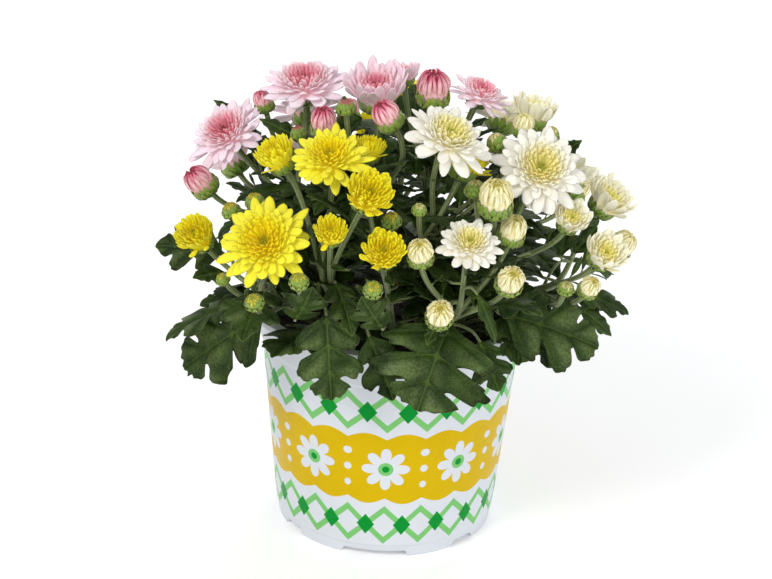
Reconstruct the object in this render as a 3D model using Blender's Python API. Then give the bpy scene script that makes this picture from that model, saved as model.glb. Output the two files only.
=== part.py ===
"""A pot chrysanthemum with pink, yellow and white flower heads in a 14 cm plastic pot.

The tables are in millimetres and MM turns them into metres. The origin is on the pot's axis, at
the surface that it stands on. +Z is up and -Y is the side that the flowers in front face.
"""

import math
import random

import bmesh
import bpy
import numpy as np

MM = 0.001
CLEAR = 0.3
SEED = 5

# Pot
POT_HEIGHT = 115.0
POT_WALL_LOW = 54.3
POT_WALL_HIGH = 65.1
LIP_RADIUS = 70.0
LIP_HEIGHT = 4.0
WALL = 1.3
STEP_HEIGHT = 6.0
COLLAR_HEIGHT = 95.5
LEDGE = 0.8
FOOT_WIDTH = 3.0
FOOT_HEIGHT = 5.0
NOTCHES = 7
NOTCH_HEIGHT = 3.0
NOTCH_RAMP = 3.0
WIDE_NOTCH = 15.0
NARROW_NOTCH = 5.0
NOTCH_TURN = -4.3
POT_SIDES = 35
DRAIN_HOLES = 6
DRAIN_RADIUS = 4.0
DRAIN_CIRCLE = 31.0
DRAIN_SIDES = 8
CUT_BELOW = 2.0
CUT_ABOVE = 4.0

# Soil
SOIL_TOP = 100.0
SOIL_SIDES = 21
SOIL_CLEAR = 0.6
SOIL_FOOT = 15.0
SOIL_INSET = 2.0
SOIL_SWELL = 1.4
HOLE_DEPTH = 25.0
HOLE_RADIUS = 3.15
HOLE_SIDES = 6

# Stems and stalks
MAIN_RADIUS = 2.4
MAIN_TOP_RADIUS = 1.7
MAIN_START = 4.0
STALK_RADIUS = 1.15
ROUTE_POINTS = 17
STALK_SPREAD = 10
STALK_GAP = 4.6
ROUTE_KEYS = [0, 5, 10, 16]
BEND_ROUNDS = 60
BEND_PUSH = 0.4
HEAD_MARGIN = 1.2

# Leaves
RIB_HALF = 0.75
FOLD_LIFT = 0.30
FOLD_DROOP = 0.34
PLACED_ARCH = 0.12
RULED_ARCH = 0.16
LEAF_GAP = 4.4
LEAF_HEAD_MARGIN = 1.8
LEAF_REACH = (114.0, 102.0)
GRID = 5.0

# Each stem: where it stands in the soil, and where it forks
STEMS = {
    "pink_left": ((-26, 2), (-46, -4, 160)),
    "pink_middle": ((-8, 0), (-14, -14, 168)),
    "pink_right": ((10, 12), (14, 0, 168)),
    "yellow_left": ((-36, -20), (-60, -46, 134)),
    "yellow_middle": ((-19, -32), (-32, -56, 146)),
    "yellow_right": ((0, -42), (-2, -62, 144)),
    "white_middle": ((13, -18), (18, -38, 164)),
    "white_right": ((32, -22), (48, -40, 156)),
    "white_edge": ((44, -4), (76, -30, 138)),
    "white_front": ((22, -38), (30, -66, 138)),
    "back_left": ((-30, 28), (-52, 46, 146)),
    "back_middle": ((0, 36), (2, 56, 156)),
    "back_right": ((32, 26), (54, 42, 146)),
}

# Each head: stem, form, colour, middle, diameter, and how far it leans along x and y
HEADS = (
    ("pink_left", "bloom", "pink", (-46, 5, 224), 44, (-0.1, -0.2)),
    ("pink_left", "bloom", "pink", (-83, 0, 199), 41, (-0.5, -0.5)),
    ("pink_left", "bud", "pink", (-94, -18, 180), 14, (-0.8, -0.3)),
    ("pink_left", "bud", "pink", (-66, 14, 210), 10, (-0.3, 0.1)),
    ("pink_middle", "half", "pink", (-12, -12, 229), 28, (-0.1, -0.2)),
    ("pink_middle", "bud", "pink", (-7, -48, 227), 13, (-0.6, -0.2)),
    ("pink_middle", "bud", "pink", (-35, -34, 218), 13, (-0.1, -0.2)),
    ("pink_middle", "green", "pink", (-25, -38, 226), 8, (-0.1, -0.2)),
    ("pink_middle", "green", "pink", (-47, -22, 207), 7, (-0.2, -0.1)),
    ("pink_right", "half", "pink", (1, 14, 227), 15, (-0.1, 0.1)),
    ("pink_right", "bud", "pink", (15, -14, 230), 16, (0.0, -0.2)),
    ("pink_right", "bloom", "pink", (38, -4, 225), 31, (0.35, -0.15)),
    ("yellow_left", "bloom", "yellow", (-59, -80, 176), 44, (-0.3, -1.0)),
    ("yellow_left", "half", "yellow", (-92, -50, 165), 20, (-0.5, -0.7)),
    ("yellow_left", "green", "yellow", (-76, -50, 178), 8, (-0.3, -0.3)),
    ("yellow_left", "green", "yellow", (-65, -52, 184), 8, (-0.2, -0.2)),
    ("yellow_left", "green", "yellow", (-78, -70, 152), 6, (-0.5, -0.5)),
    ("yellow_left", "green", "yellow", (-62, -92, 151), 8, (-0.2, -0.8)),
    ("yellow_middle", "bloom", "yellow", (-31, -62, 212), 38, (-0.1, -0.45)),
    ("yellow_middle", "half", "yellow", (-56, -50, 206), 20, (-0.6, -0.2)),
    ("yellow_middle", "half", "yellow", (-12, -84, 202), 22, (0.3, -0.8)),
    ("yellow_middle", "half", "yellow", (-29, -84, 183), 16, (0.0, -0.6)),
    ("yellow_middle", "green", "yellow", (-42, -94, 163), 8, (0.0, -0.6)),
    ("yellow_right", "half", "yellow", (-13, -45, 209), 15, (0.1, 0.0)),
    ("yellow_right", "half", "yellow", (-5, -92, 178), 20, (0.0, -0.9)),
    ("yellow_right", "half", "yellow", (32, -38, 203), 21, (0.4, 0.2)),
    ("yellow_right", "green", "yellow", (-9, -98, 162), 8, (0.0, -0.8)),
    ("yellow_right", "green", "yellow", (-2, -74, 186), 8, (0.0, -0.4)),
    ("white_middle", "bloom", "white", (23, -60, 223), 41, (0.35, -0.35)),
    ("white_middle", "half", "white", (63, -12, 220), 21, (0.2, 0.1)),
    ("white_middle", "bud", "white", (57, -29, 218), 10, (0.1, 0.0)),
    ("white_middle", "green", "white", (71, -16, 209), 8, (0.4, 0.0)),
    ("white_middle", "green", "white", (44, -38, 212), 9, (-0.5, 0.0)),
    ("white_middle", "green", "white", (10, -78, 193), 6, (0.0, -0.5)),
    ("white_right", "bloom", "white", (65, -52, 206), 42, (0.2, -1.0)),
    ("white_right", "bud", "white", (44, -72, 199), 16, (0.0, -0.3)),
    ("white_right", "half", "white", (80, -55, 183), 17, (0.3, -0.5)),
    ("white_right", "green", "white", (35, -62, 198), 9, (-0.1, -0.1)),
    ("white_edge", "half", "white", (101, -20, 180), 22, (0.7, -0.2)),
    ("white_edge", "half", "white", (97, -56, 167), 20, (0.5, -0.6)),
    ("white_edge", "bud", "white", (108, -27, 160), 13, (0.7, -0.1)),
    ("white_edge", "bud", "white", (90, -66, 154), 10, (0.4, -0.6)),
    ("white_edge", "green", "white", (78, -74, 156), 7, (0.1, -0.6)),
    ("white_front", "bloom", "white", (33, -88, 183), 30, (0.1, -0.5)),
    ("white_front", "bud", "white", (53, -68, 182), 13, (0.2, -0.3)),
    ("white_front", "bud", "white", (11, -90, 178), 12, (-0.1, -0.5)),
    ("white_front", "bud", "white", (52, -92, 167), 13, (0.2, -0.8)),
    ("white_front", "bud", "white", (21, -96, 151), 13, (0.0, -0.9)),
    ("back_left", "bloom", "pink", (-46, 50, 196), 40, (-0.2, 0.7)),
    ("back_left", "half", "pink", (-84, 38, 172), 22, (-0.7, 0.4)),
    ("back_left", "bloom", "pink", (-58, 76, 164), 36, (-0.4, 1.1)),
    ("back_left", "bud", "pink", (-26, 74, 186), 12, (-0.1, 0.6)),
    ("back_middle", "bloom", "yellow", (4, 56, 204), 38, (0.0, 0.5)),
    ("back_middle", "half", "yellow", (-14, 91, 171), 22, (-0.2, 0.9)),
    ("back_middle", "bud", "yellow", (22, 84, 178), 13, (0.2, 0.7)),
    ("back_right", "bloom", "white", (52, 46, 198), 40, (0.3, 0.6)),
    ("back_right", "half", "white", (90, 28, 176), 22, (0.8, 0.3)),
    ("back_right", "bloom", "white", (62, 76, 164), 36, (0.4, 1.1)),
    ("back_right", "bud", "white", (92, 54, 156), 12, (0.7, 0.6)),
)

# Each head form's height, and the height of the green cup under it, as shares of its radius
HEAD_HEIGHT = {"bloom": 0.70, "half": 1.35, "bud": 1.70, "green": 1.6}
CALYX = {"bloom": 0.24, "half": 0.36, "bud": 0.55, "green": 0.0}

# Each head form as shares of its radius: core profile from the base up, then one row of petals
# for each band of the core: (middle radius, height, half width), (tip radius, height)
FORMS = {
    "bloom": {
        "sides": 9,
        "core": ((0.22, 0.0), (0.37, 0.12), (0.38, 0.27), (0.26, 0.40), (0.0, 0.60)),
        "petals": (
            ((0.79, 0.07, 0.240), (1.00, 0.10)),
            ((0.67, 0.37, 0.205), (0.84, 0.46)),
            ((0.43, 0.59, 0.135), (0.53, 0.74)),
        ),
    },
    "half": {
        "sides": 6,
        "core": ((0.32, 0.0), (0.56, 0.34), (0.44, 0.74), (0.0, 0.95)),
        "petals": (
            ((0.82, 0.66, 0.37), (1.00, 1.14)),
            ((0.60, 1.04, 0.27), (0.52, 1.44)),
        ),
    },
    "bud": {
        "sides": 5,
        "core": ((0.45, 0.0), (0.60, 0.62), (0.0, 1.10)),
        "petals": (((0.98, 0.84, 0.50), (0.30, 1.76)),),
    },
}
PETAL_DEPTH = 0.9
PETAL_LEAN = 0.9
PETAL_TURN = 0.25
STALK_SIDES = {"bloom": 5, "half": 4, "bud": 4, "green": 4}

# Leaf outlines as (share of the blade's length, share of its half width), from base to tip
OUTLINES = {
    "large": ((0.0, 0.08), (0.18, 0.40), (0.34, 0.88), (0.43, 0.42), (0.62, 1.0), (0.72, 0.40),
              (0.86, 0.46), (1.0, 0.0)),
    "medium": ((0.0, 0.10), (0.30, 0.78), (0.40, 0.42), (0.62, 1.0), (0.73, 0.42), (1.0, 0.0)),
    "small": ((0.0, 0.12), (0.38, 0.95), (0.52, 0.60), (0.70, 0.62), (1.0, 0.0)),
}

# Leaves set by eye: stem, outline, blade's base, its tip, its width, and the way its face looks
PLACED_LEAVES = (
    ("yellow_left", "large", (-58, -60, 130), (-97, -56, 99), 38, (-0.3, -0.7, 0.6)),
    ("yellow_left", "medium", (-63, -24, 122), (-92, -28, 119), 22, (-0.1, -0.3, 1.0)),
    ("yellow_middle", "large", (-30, -76, 140), (-26, -92, 103), 30, (0.0, -1.0, 0.4)),
    ("yellow_right", "medium", (-12, -76, 130), (0, -88, 102), 22, (0.1, -1.0, 0.4)),
    ("white_front", "large", (26, -76, 137), (13, -99, 103), 56, (-0.1, -1.0, 0.6)),
    ("white_front", "medium", (40, -74, 128), (50, -86, 108), 20, (0.3, -1.0, 0.4)),
    ("white_edge", "large", (50, -66, 138), (96, -64, 122), 38, (0.1, -0.7, 0.8)),
    ("white_edge", "medium", (84, -42, 140), (112, -36, 127), 18, (0.2, -0.4, 1.0)),
    ("white_edge", "small", (86, -46, 134), (104, -42, 118), 14, (0.4, -0.6, 0.6)),
    ("white_front", "small", (37, -84, 156), (47, -90, 134), 9, (0.6, -0.8, 0.2)),
    ("yellow_left", "medium", (-80, -30, 147), (-113, -28, 149), 26, (0.0, -0.6, 0.8)),
    ("yellow_left", "small", (-78, -50, 146), (-92, -62, 148), 14, (0.0, -0.6, 0.8)),
    ("yellow_right", "medium", (24, -82, 153), (6, -92, 160), 17, (0.2, -0.8, 0.7)),
    ("white_middle", "small", (72, -6, 190), (86, -8, 203), 12, (-0.4, -0.8, 0.4)),
    ("pink_left", "small", (-72, 12, 196), (-91, 24, 206), 10, (0.2, -0.6, 0.8)),
    ("pink_middle", "small", (-22, -16, 204), (-24, -8, 222), 15, (0.0, -0.9, 0.4)),
    ("white_edge", "small", (78, -34, 154), (80, -36, 180), 15, (-0.1, -1.0, 0.2)),
    ("white_edge", "small", (84, -30, 154), (95, -24, 166), 11, (-0.2, -1.0, 0.4)),
    ("pink_left", "small", (-46, -14, 200), (-66, -10, 208), 10, (0.0, -0.8, 0.6)),
    ("yellow_middle", "medium", (-44, -78, 136), (-36, -90, 158), 20, (0.2, -1.0, 0.1)),
    ("yellow_right", "medium", (-4, -84, 136), (-14, -94, 156), 18, (0.0, -1.0, 0.2)),
)
LEAF_STEP = 4
LEAF_TRIES = 50
GOLDEN_ANGLE = 137.5


# Vectors and curves

def unit(vector):
    vector = np.asarray(vector, float)
    return vector / np.linalg.norm(vector)


def bezier(start, leave, arrive, end, count):
    """Points along the cubic curve from start to end with the two middle handles given."""
    t = np.linspace(0.0, 1.0, count)[:, None]
    one = 1.0 - t
    return one**3 * start + 3 * one**2 * t * leave + 3 * one * t**2 * arrive + t**3 * end


def across(direction):
    """Two unit vectors square to a direction and to each other."""
    helper = (0.0, 0.0, 1.0) if abs(direction[2]) < 0.9 else (1.0, 0.0, 0.0)
    side = unit(np.cross(helper, direction))
    return side, np.cross(direction, side)


# Plan of the plant: heads, routes of stems and stalks, leaves

def head_plan(row):
    """Where one head sits: its base, its axis and its half sizes."""
    stem, form, colour, middle, diameter, lean = row
    axis = unit((lean[0], lean[1], 1.0))
    radius = diameter / 2
    height = radius * HEAD_HEIGHT[form]
    base = np.array(middle, float) - axis * height / 2
    return {"stem": stem, "form": form, "colour": colour, "radius": radius, "axis": axis,
            "height": height, "base": base, "middle": np.array(middle, float)}


def calyx_height(head):
    return CALYX[head["form"]] * head["radius"]


def main_route(name):
    foot, fork = STEMS[name]
    low = np.array((foot[0], foot[1], SOIL_TOP + MAIN_START))
    fork = np.array(fork, float)
    rise = (fork[2] - low[2]) * 0.45
    up = np.array((0.0, 0.0, rise))
    lean = unit(fork - low) * rise * 0.6
    return bezier(low, low + up, fork - lean, fork, ROUTE_POINTS)


def stalk_route(main, head, share):
    """From a point on the main stem to the foot of the head's cup, along the head's axis."""
    start = main[-1 - int(share * STALK_SPREAD)]
    end = head["base"] - head["axis"] * (CLEAR + calyx_height(head))
    reach = np.linalg.norm(end - start)
    leave = start + unit(unit(main[-1] - main[-5]) + 0.5 * unit(end - start)) * reach * 0.3
    arrive = end - head["axis"] * reach * 0.4
    return bezier(start, leave, arrive, end, ROUTE_POINTS)


def push_from_head(points, head, margin):
    """Points inside the head's flattened ball, moved out to its surface."""
    offset = points - head["middle"]
    along = offset @ head["axis"]
    radial = offset - along[:, None] * head["axis"]
    share = np.sqrt(
        (np.linalg.norm(radial, axis=1) / (head["radius"] + margin)) ** 2
        + (along / (head["height"] / 2 + margin)) ** 2
    )
    inside = share < 1.0
    points[inside] = head["middle"] + offset[inside] / np.maximum(share[inside], 0.2)[:, None]


def bend_clear(routes, owners, heads, own_heads):
    """Bends the stalks until those of different stems and the heads lie clear of each other."""
    first = np.array(routes)
    routes = first.copy()
    count, length = routes.shape[:2]
    owner = np.repeat(owners, length)
    apart = owner[:, None] != owner[None, :]
    held = np.zeros(length, bool)
    held[[0, 1, -2, -1]] = True
    for _ in range(BEND_ROUNDS):
        flat = routes.reshape(-1, 3)
        gap = flat[:, None, :] - flat[None, :, :]
        distance = np.linalg.norm(gap, axis=2) + 1e-6
        short = np.where(apart & (distance < STALK_GAP), STALK_GAP - distance, 0.0)
        moved = flat + BEND_PUSH * np.einsum("ij,ijk->ik", short / distance, gap)
        moved = moved.reshape(count, length, 3)
        for index in range(count):
            for number, head in enumerate(heads):
                if number != own_heads[index]:
                    push_from_head(moved[index], head, STALK_RADIUS + HEAD_MARGIN)
        drift = moved - first
        smooth = drift.copy()
        smooth[:, 1:-1] = 0.5 * drift[:, 1:-1] + 0.25 * (drift[:, :-2] + drift[:, 2:])
        smooth[:, held] = 0.0
        routes = first + smooth
    return routes


def leaf_grid(leaf):
    """Points spread over a leaf and its stalk, about a grid step apart."""
    points = [leaf["petiole"]]
    steps = max(3, int(leaf["length"] / GRID) + 2)
    for u in np.linspace(0.0, 1.0, steps):
        half = np.interp(u, [p[0] for p in leaf["outline"]], [p[1] for p in leaf["outline"]])
        half = max(half, 0.55 if 0.25 < u < 0.8 else 0.2)
        count = max(1, int(math.ceil(half * leaf["width"] / GRID)))
        for v in np.linspace(-half, half, count + 1):
            points.append(leaf_point(leaf, u, v)[None, :])
    return np.concatenate(points)


def leaf_frame(leaf, u):
    """The rib's point at u with its side and face directions."""
    base, handle, tip = leaf["rib"]
    point = (1 - u) ** 2 * base + 2 * u * (1 - u) * handle + u * u * tip
    along = unit(2 * (1 - u) * (handle - base) + 2 * u * (tip - handle))
    side = unit(np.cross(along, leaf["face"]))
    return point, side, np.cross(side, along)


def leaf_point(leaf, u, v):
    """A point of the blade at u along it and v across it, each side a little lifted, then drooping."""
    point, side, face = leaf_frame(leaf, u)
    half = leaf["width"] / 2
    return point + side * v * half + face * half * (FOLD_LIFT * abs(v) - FOLD_DROOP * v * v)


def make_leaf(stem, outline, start, base, tip, width, face, arch):
    base, tip, start = (np.array(p, float) for p in (base, tip, start))
    length = np.linalg.norm(tip - base)
    face = unit(face)
    handle = (base + tip) / 2 + face * arch * length
    along = unit(handle - base)
    reach = np.linalg.norm(base - start)
    outward = unit(unit(base - start) + np.array((0.0, 0.0, 0.6)))
    petiole = bezier(start, start + outward * reach * 0.35, base - along * reach * 0.35, base,
                     max(3, int(reach / GRID) + 2))
    return {"stem": stem, "outline": OUTLINES[outline], "kind": outline, "petiole": petiole,
            "rib": (base, handle, tip), "face": face, "width": width, "length": length}


def clear_of_pot(points):
    """True where no point lies in the soil or near the pot's wall and lip."""
    reach = np.hypot(points[:, 0], points[:, 1])
    low = points[:, 2] < POT_HEIGHT + 2.0
    in_wall = low & (reach > POT_WALL_HIGH - 5.0) & (reach < LIP_RADIUS + 2.5)
    in_soil = (points[:, 2] < SOIL_TOP + 3.5) & (reach <= POT_WALL_HIGH)
    return not (in_wall.any() or in_soil.any())


def within_reach(points):
    """True where no leaf point lies outside the plant's breadth and depth."""
    return (np.abs(points[:, :2]) <= LEAF_REACH).all()


def clear_of_heads(points, heads, margin):
    trial = points.copy()
    for head in heads:
        push_from_head(trial, head, margin)
    return np.allclose(trial, points)


def clear_of_others(points, taken, owner, stem):
    others = taken[owner != stem]
    if not len(others):
        return True
    gap = np.linalg.norm(points[:, None, :] - others[None, :, :], axis=2)
    return gap.min() > LEAF_GAP


def grow():
    """The whole plan: heads, and for each stem its main route, stalks and leaves."""
    heads = [head_plan(row) for row in HEADS]
    names = list(STEMS)
    routes = [main_route(name) for name in names]
    owners = list(range(len(names)))
    own_heads = [-1] * len(names)
    for number, head in enumerate(heads):
        stem = names.index(head["stem"])
        siblings = [other for other, row in enumerate(HEADS) if row[0] == head["stem"]]
        share = siblings.index(number) / len(siblings)
        routes.append(stalk_route(routes[stem], head, share))
        owners.append(stem)
        own_heads.append(number)
    routes = bend_clear(routes, np.array(owners), heads, own_heads)
    stems = {name: {"main": routes[i], "stalks": [], "leaves": []} for i, name in enumerate(names)}
    for index in range(len(names), len(routes)):
        stem = stems[names[owners[index]]]
        stem["stalks"].append((routes[index], heads[own_heads[index]]))
    taken = np.concatenate(list(routes))
    owner = np.repeat([names[i] for i in owners], ROUTE_POINTS)
    add_leaves(stems, heads, taken, owner)
    return heads, stems


def nearest_start(stem, base):
    """The point of a stem's routes that a leaf with this base grows from."""
    candidates = [stem["main"][2:]] + [route[:11] for route, _ in stem["stalks"]]
    points = np.concatenate(candidates)
    away = points - base
    cost = np.linalg.norm(away, axis=1) + 1.2 * np.maximum(away[:, 2] + 4.0, 0.0)
    return points[np.argmin(cost)]


def placed_leaf(row, stem, draw, attempt):
    """A leaf set by eye, moved and turned a little more with each attempt that isn't clear."""
    name, outline, base, tip, width, face = row
    reach = 0.0 if attempt == 0 else 1.0 + attempt * 0.22
    shift = np.array([draw.uniform(-reach, reach) for _ in range(3)])
    swing = np.array([draw.uniform(-reach, reach) for _ in range(3)])
    base = np.array(base, float) + shift
    tip = np.array(tip, float) + shift + swing * 0.6
    start = nearest_start(stem, base)
    return make_leaf(name, outline, start, base, tip, width, face, PLACED_ARCH)


def rule_leaf(name, start, draw, turn, attempt):
    """A leaf by rule: large and drooping low down, small and upright higher up."""
    height = min(1.0, max(0.0, (start[2] - SOIL_TOP) / 110.0))
    turn += math.radians(draw.uniform(-12, 12) * (1 + attempt * 0.3))
    way = np.array((math.cos(turn), math.sin(turn), 0.0))
    length = draw.uniform(40, 54) * (1.0 - 0.55 * height) * (1.0 - 0.012 * attempt)
    petiole = length * draw.uniform(0.22, 0.45)
    base = start + way * petiole + np.array((0, 0, draw.uniform(0.1, 0.9) * petiole))
    dip = draw.uniform(-0.8, 0.4) if height < 0.4 else draw.uniform(-0.3, 1.2)
    along = unit(way + np.array((0, 0, dip)))
    face = unit(np.array((0, 0, 1.0)) - along * along[2] + 0.25 * way)
    kind = "large" if length > 44 else "medium" if length > 24 else "small"
    width = length * draw.uniform(0.52, 0.72) * (0.8 if kind == "small" else 1.0)
    return make_leaf(name, kind, start, base, base + along * length, width, face, RULED_ARCH)


def add_leaves(stems, heads, taken, owner):
    """Adds each leaf that lies clear of the pot, the heads and everything on the other stems."""
    draw = random.Random(SEED)

    def fits(leaf):
        grid = leaf_grid(leaf)
        blade = grid[2:]
        return (
            clear_of_pot(blade)
            and within_reach(grid)
            and clear_of_heads(grid, heads, LEAF_HEAD_MARGIN)
            and clear_of_others(grid[1:], taken, owner, leaf["stem"])
        )

    def keep(leaf):
        nonlocal taken, owner
        grid = leaf_grid(leaf)
        taken = np.concatenate([taken, grid])
        owner = np.concatenate([owner, np.repeat(leaf["stem"], len(grid))])
        stems[leaf["stem"]]["leaves"].append(leaf)

    for row in PLACED_LEAVES:
        for attempt in range(LEAF_TRIES):
            leaf = placed_leaf(row, stems[row[0]], draw, attempt)
            if fits(leaf):
                keep(leaf)
                break
    for name, stem in stems.items():
        starts = [stem["main"][index] for index in range(1, ROUTE_POINTS - 1, LEAF_STEP)]
        starts += [route[draw.randrange(3, 9)] for route, _ in stem["stalks"][1::4]]
        for number, start in enumerate(starts):
            turn = math.atan2(start[1], start[0]) + math.radians(GOLDEN_ANGLE * number)
            for attempt in range(LEAF_TRIES):
                leaf = rule_leaf(name, start, draw, turn, attempt)
                if fits(leaf):
                    keep(leaf)
                    break


# Meshes

def solid(name, points, faces):
    """An object from points in millimetres and faces, with its faces turned outwards."""
    mesh = bpy.data.meshes.new(name)
    mesh.from_pydata([tuple(float(c) * MM for c in p) for p in points], [], faces)
    work = bmesh.new()
    work.from_mesh(mesh)
    bmesh.ops.recalc_face_normals(work, faces=work.faces)
    work.to_mesh(mesh)
    work.free()
    thing = bpy.data.objects.new(name, mesh)
    bpy.context.scene.collection.objects.link(thing)
    return thing


def strip(low, high):
    """Quads that join two equal rings of point numbers."""
    count = len(low)
    return [(low[i], low[(i + 1) % count], high[(i + 1) % count], high[i]) for i in range(count)]


def tube(route, radii, sides):
    """A round rod along a route, with flat ends."""
    points, rings = [], []
    side = across(unit(route[1] - route[0]))[0]
    for number, centre in enumerate(route):
        ahead = route[min(number + 1, len(route) - 1)]
        behind = route[max(number - 1, 0)]
        direction = unit(ahead - behind)
        side = unit(side - direction * (side @ direction))
        other = np.cross(direction, side)
        ring = []
        for k in range(sides):
            turn = 2 * math.pi * k / sides
            ring.append(len(points))
            points.append(centre + radii[number] * (math.cos(turn) * side + math.sin(turn) * other))
        rings.append(ring)
    faces = [face for low, high in zip(rings, rings[1:]) for face in strip(low, high)]
    return solid("rod", points, faces + [tuple(rings[0]), tuple(rings[-1])])


def turned(name, profile, axis, base, sides):
    """A solid of revolution: its profile goes from one flat or pointed end to the other."""
    side, other = across(axis)
    points, rings = [], []
    for reach, height in profile:
        centre = base + axis * height
        if reach == 0.0:
            rings.append([len(points)] * sides)
            points.append(centre)
            continue
        rings.append(list(range(len(points), len(points) + sides)))
        for k in range(sides):
            turn = 2 * math.pi * k / sides
            points.append(centre + reach * (math.cos(turn) * side + math.sin(turn) * other))
    faces = []
    for low, high in zip(rings, rings[1:]):
        faces += [tuple(dict.fromkeys(face)) for face in strip(low, high)]
    faces += [tuple(ring) for ring in (rings[0], rings[-1]) if len(set(ring)) > 1]
    return solid(name, points, faces)


def petal_faces(points, root, middle, tip):
    """One petal's faces: its root is a facet of the core, its middle a wedge, its tip a point."""
    a, b, c, d = root
    first = len(points)
    points += [*middle, tip]
    left, right, keel, end = range(first, first + 4)
    return [(d, c, right), (d, right, left), (c, b, right), (b, keel, right), (b, a, keel),
            (a, left, keel), (a, d, left), (left, right, end), (left, end, keel), (right, keel, end)]


def head_point(head, reach, height, turn):
    """A point of a head from its reach, height and turn round the axis, in shares of the radius."""
    side, other = across(head["axis"])
    outward = math.cos(turn) * side + math.sin(turn) * other
    return head["base"] + head["radius"] * (reach * outward + height * head["axis"])


def petal_points(head, middle, tip, turn, draw):
    """The wedge at a petal's middle and the point at its tip, both a little out of line."""
    reach, height, half = middle
    long = draw.uniform(0.92, 1.06)
    rise = draw.uniform(-0.02, 0.03)
    sink = PETAL_DEPTH / head["radius"]
    slope = math.atan2(tip[1] - height, tip[0] - reach)
    deep_reach = reach + sink * math.sin(slope) * PETAL_LEAN
    deep_height = height - sink * math.cos(slope) + rise
    spread = half / reach
    wedge = (head_point(head, reach, height + rise, turn - spread),
             head_point(head, reach, height + rise, turn + spread),
             head_point(head, deep_reach, deep_height, turn))
    return wedge, head_point(head, tip[0] * long, tip[1] + rise, turn)


def make_head(name, head, draw):
    """A flower head: a core whose bands of facets are each drawn out into a ring of petals."""
    form = FORMS[head["form"]]
    sides = form["sides"]
    step = 2 * math.pi / sides
    points, rings = [], []
    for level, (reach, height) in enumerate(form["core"][:-1]):
        rings.append(list(range(len(points), len(points) + sides)))
        points += [head_point(head, reach, height, step * (k + level / 2)) for k in range(sides)]
    faces = [tuple(rings[0])]
    for level, (middle, tip) in enumerate(form["petals"]):
        low, high = rings[level], rings[level + 1]
        for k in range(sides):
            root = (low[k], low[(k + 1) % sides], high[(k + 1) % sides], high[k])
            turn = step * (k + 0.5 + level / 2 + PETAL_TURN + draw.uniform(-0.06, 0.06))
            faces += petal_faces(points, root, *petal_points(head, middle, tip, turn, draw))
    top = len(points)
    points.append(head_point(head, 0.0, form["core"][-1][1], 0.0))
    last = rings[-1]
    faces += [(last[k], last[(k + 1) % sides], top) for k in range(sides)]
    return solid(name, points, faces)


def make_blade(leaf):
    """One leaf with its stalk: a thin lens-shaped blade, thick at the rib, cut into lobes."""
    outline = leaf["outline"]
    points, rings = [], []
    route = leaf["petiole"]
    bends = (0, len(route) // 2) if leaf["kind"] == "large" else (0,)
    for place, following in ((route[number], route[number + 1]) for number in bends):
        along = unit(following - place)
        side = unit(np.cross(along, leaf["face"]))
        face = np.cross(side, along)
        rings.append(list(range(len(points), len(points) + 4)))
        points += [place + face * RIB_HALF, place + side * RIB_HALF, place - face * RIB_HALF,
                   place - side * RIB_HALF]
    for u, v in outline[:-1]:
        rib, _, face = leaf_frame(leaf, u)
        rings.append(list(range(len(points), len(points) + 4)))
        points += [rib + face * RIB_HALF, leaf_point(leaf, u, v), rib - face * RIB_HALF,
                   leaf_point(leaf, u, -v)]
    tip = len(points)
    points.append(leaf_point(leaf, 1.0, 0.0))
    faces = [tuple(rings[0])]
    for low, high in zip(rings, rings[1:]):
        for a, b in ((0, 1), (1, 2), (2, 3), (3, 0)):
            rib_low, edge_low = (low[a], low[b]) if a % 2 == 0 else (low[b], low[a])
            rib_high, edge_high = (high[a], high[b]) if a % 2 == 0 else (high[b], high[a])
            faces += [(rib_low, edge_low, edge_high), (rib_low, edge_high, rib_high)]
    last = rings[-1]
    faces += [(last[k], last[(k + 1) % 4], tip) for k in range(4)]
    return solid("leaf", points, faces)


def fuse(name, pieces):
    """One body from overlapping pieces, by a single union over a collection of them."""
    group = bpy.data.collections.new(name + "_pieces")
    base = pieces[0]
    base.name = name
    for piece in pieces[1:]:
        group.objects.link(piece)
        bpy.context.scene.collection.objects.unlink(piece)
    union = base.modifiers.new("Union", "BOOLEAN")
    union.operation = "UNION"
    union.operand_type = "COLLECTION"
    union.collection = group
    union.solver = "MANIFOLD"
    apply_modifiers(base)
    for piece in pieces[1:]:
        bpy.data.objects.remove(piece, do_unlink=True)
    bpy.data.collections.remove(group)
    drop_scraps(base)
    return base


def cut(body, cutters):
    """Cuts a group of rods out of a body in one Boolean."""
    group = bpy.data.collections.new(body.name + "_cutters")
    for cutter in cutters:
        group.objects.link(cutter)
        bpy.context.scene.collection.objects.unlink(cutter)
    holes = body.modifiers.new("Holes", "BOOLEAN")
    holes.operation = "DIFFERENCE"
    holes.operand_type = "COLLECTION"
    holes.collection = group
    apply_modifiers(body)
    for cutter in cutters:
        bpy.data.objects.remove(cutter, do_unlink=True)
    bpy.data.collections.remove(group)


def apply_modifiers(thing):
    bpy.context.view_layer.update()
    graph = bpy.context.evaluated_depsgraph_get()
    mesh = bpy.data.meshes.new_from_object(thing.evaluated_get(graph))
    thing.modifiers.clear()
    thing.data = mesh


def drop_scraps(thing):
    """Keeps the largest body of a mesh, and so drops loose scraps and fills sealed hollows."""
    work = bmesh.new()
    work.from_mesh(thing.data)
    left, groups = set(work.verts), []
    while left:
        group, edge = set(), [left.pop()]
        while edge:
            vertex = edge.pop()
            group.add(vertex)
            for link in vertex.link_edges:
                other = link.other_vert(vertex)
                if other in left:
                    left.discard(other)
                    edge.append(other)
        groups.append(group)
    largest = max(groups, key=len)
    doomed = [vertex for vertex in work.verts if vertex not in largest]
    bmesh.ops.delete(work, geom=doomed, context="VERTS")
    work.to_mesh(thing.data)
    work.free()


# Materials

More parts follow.
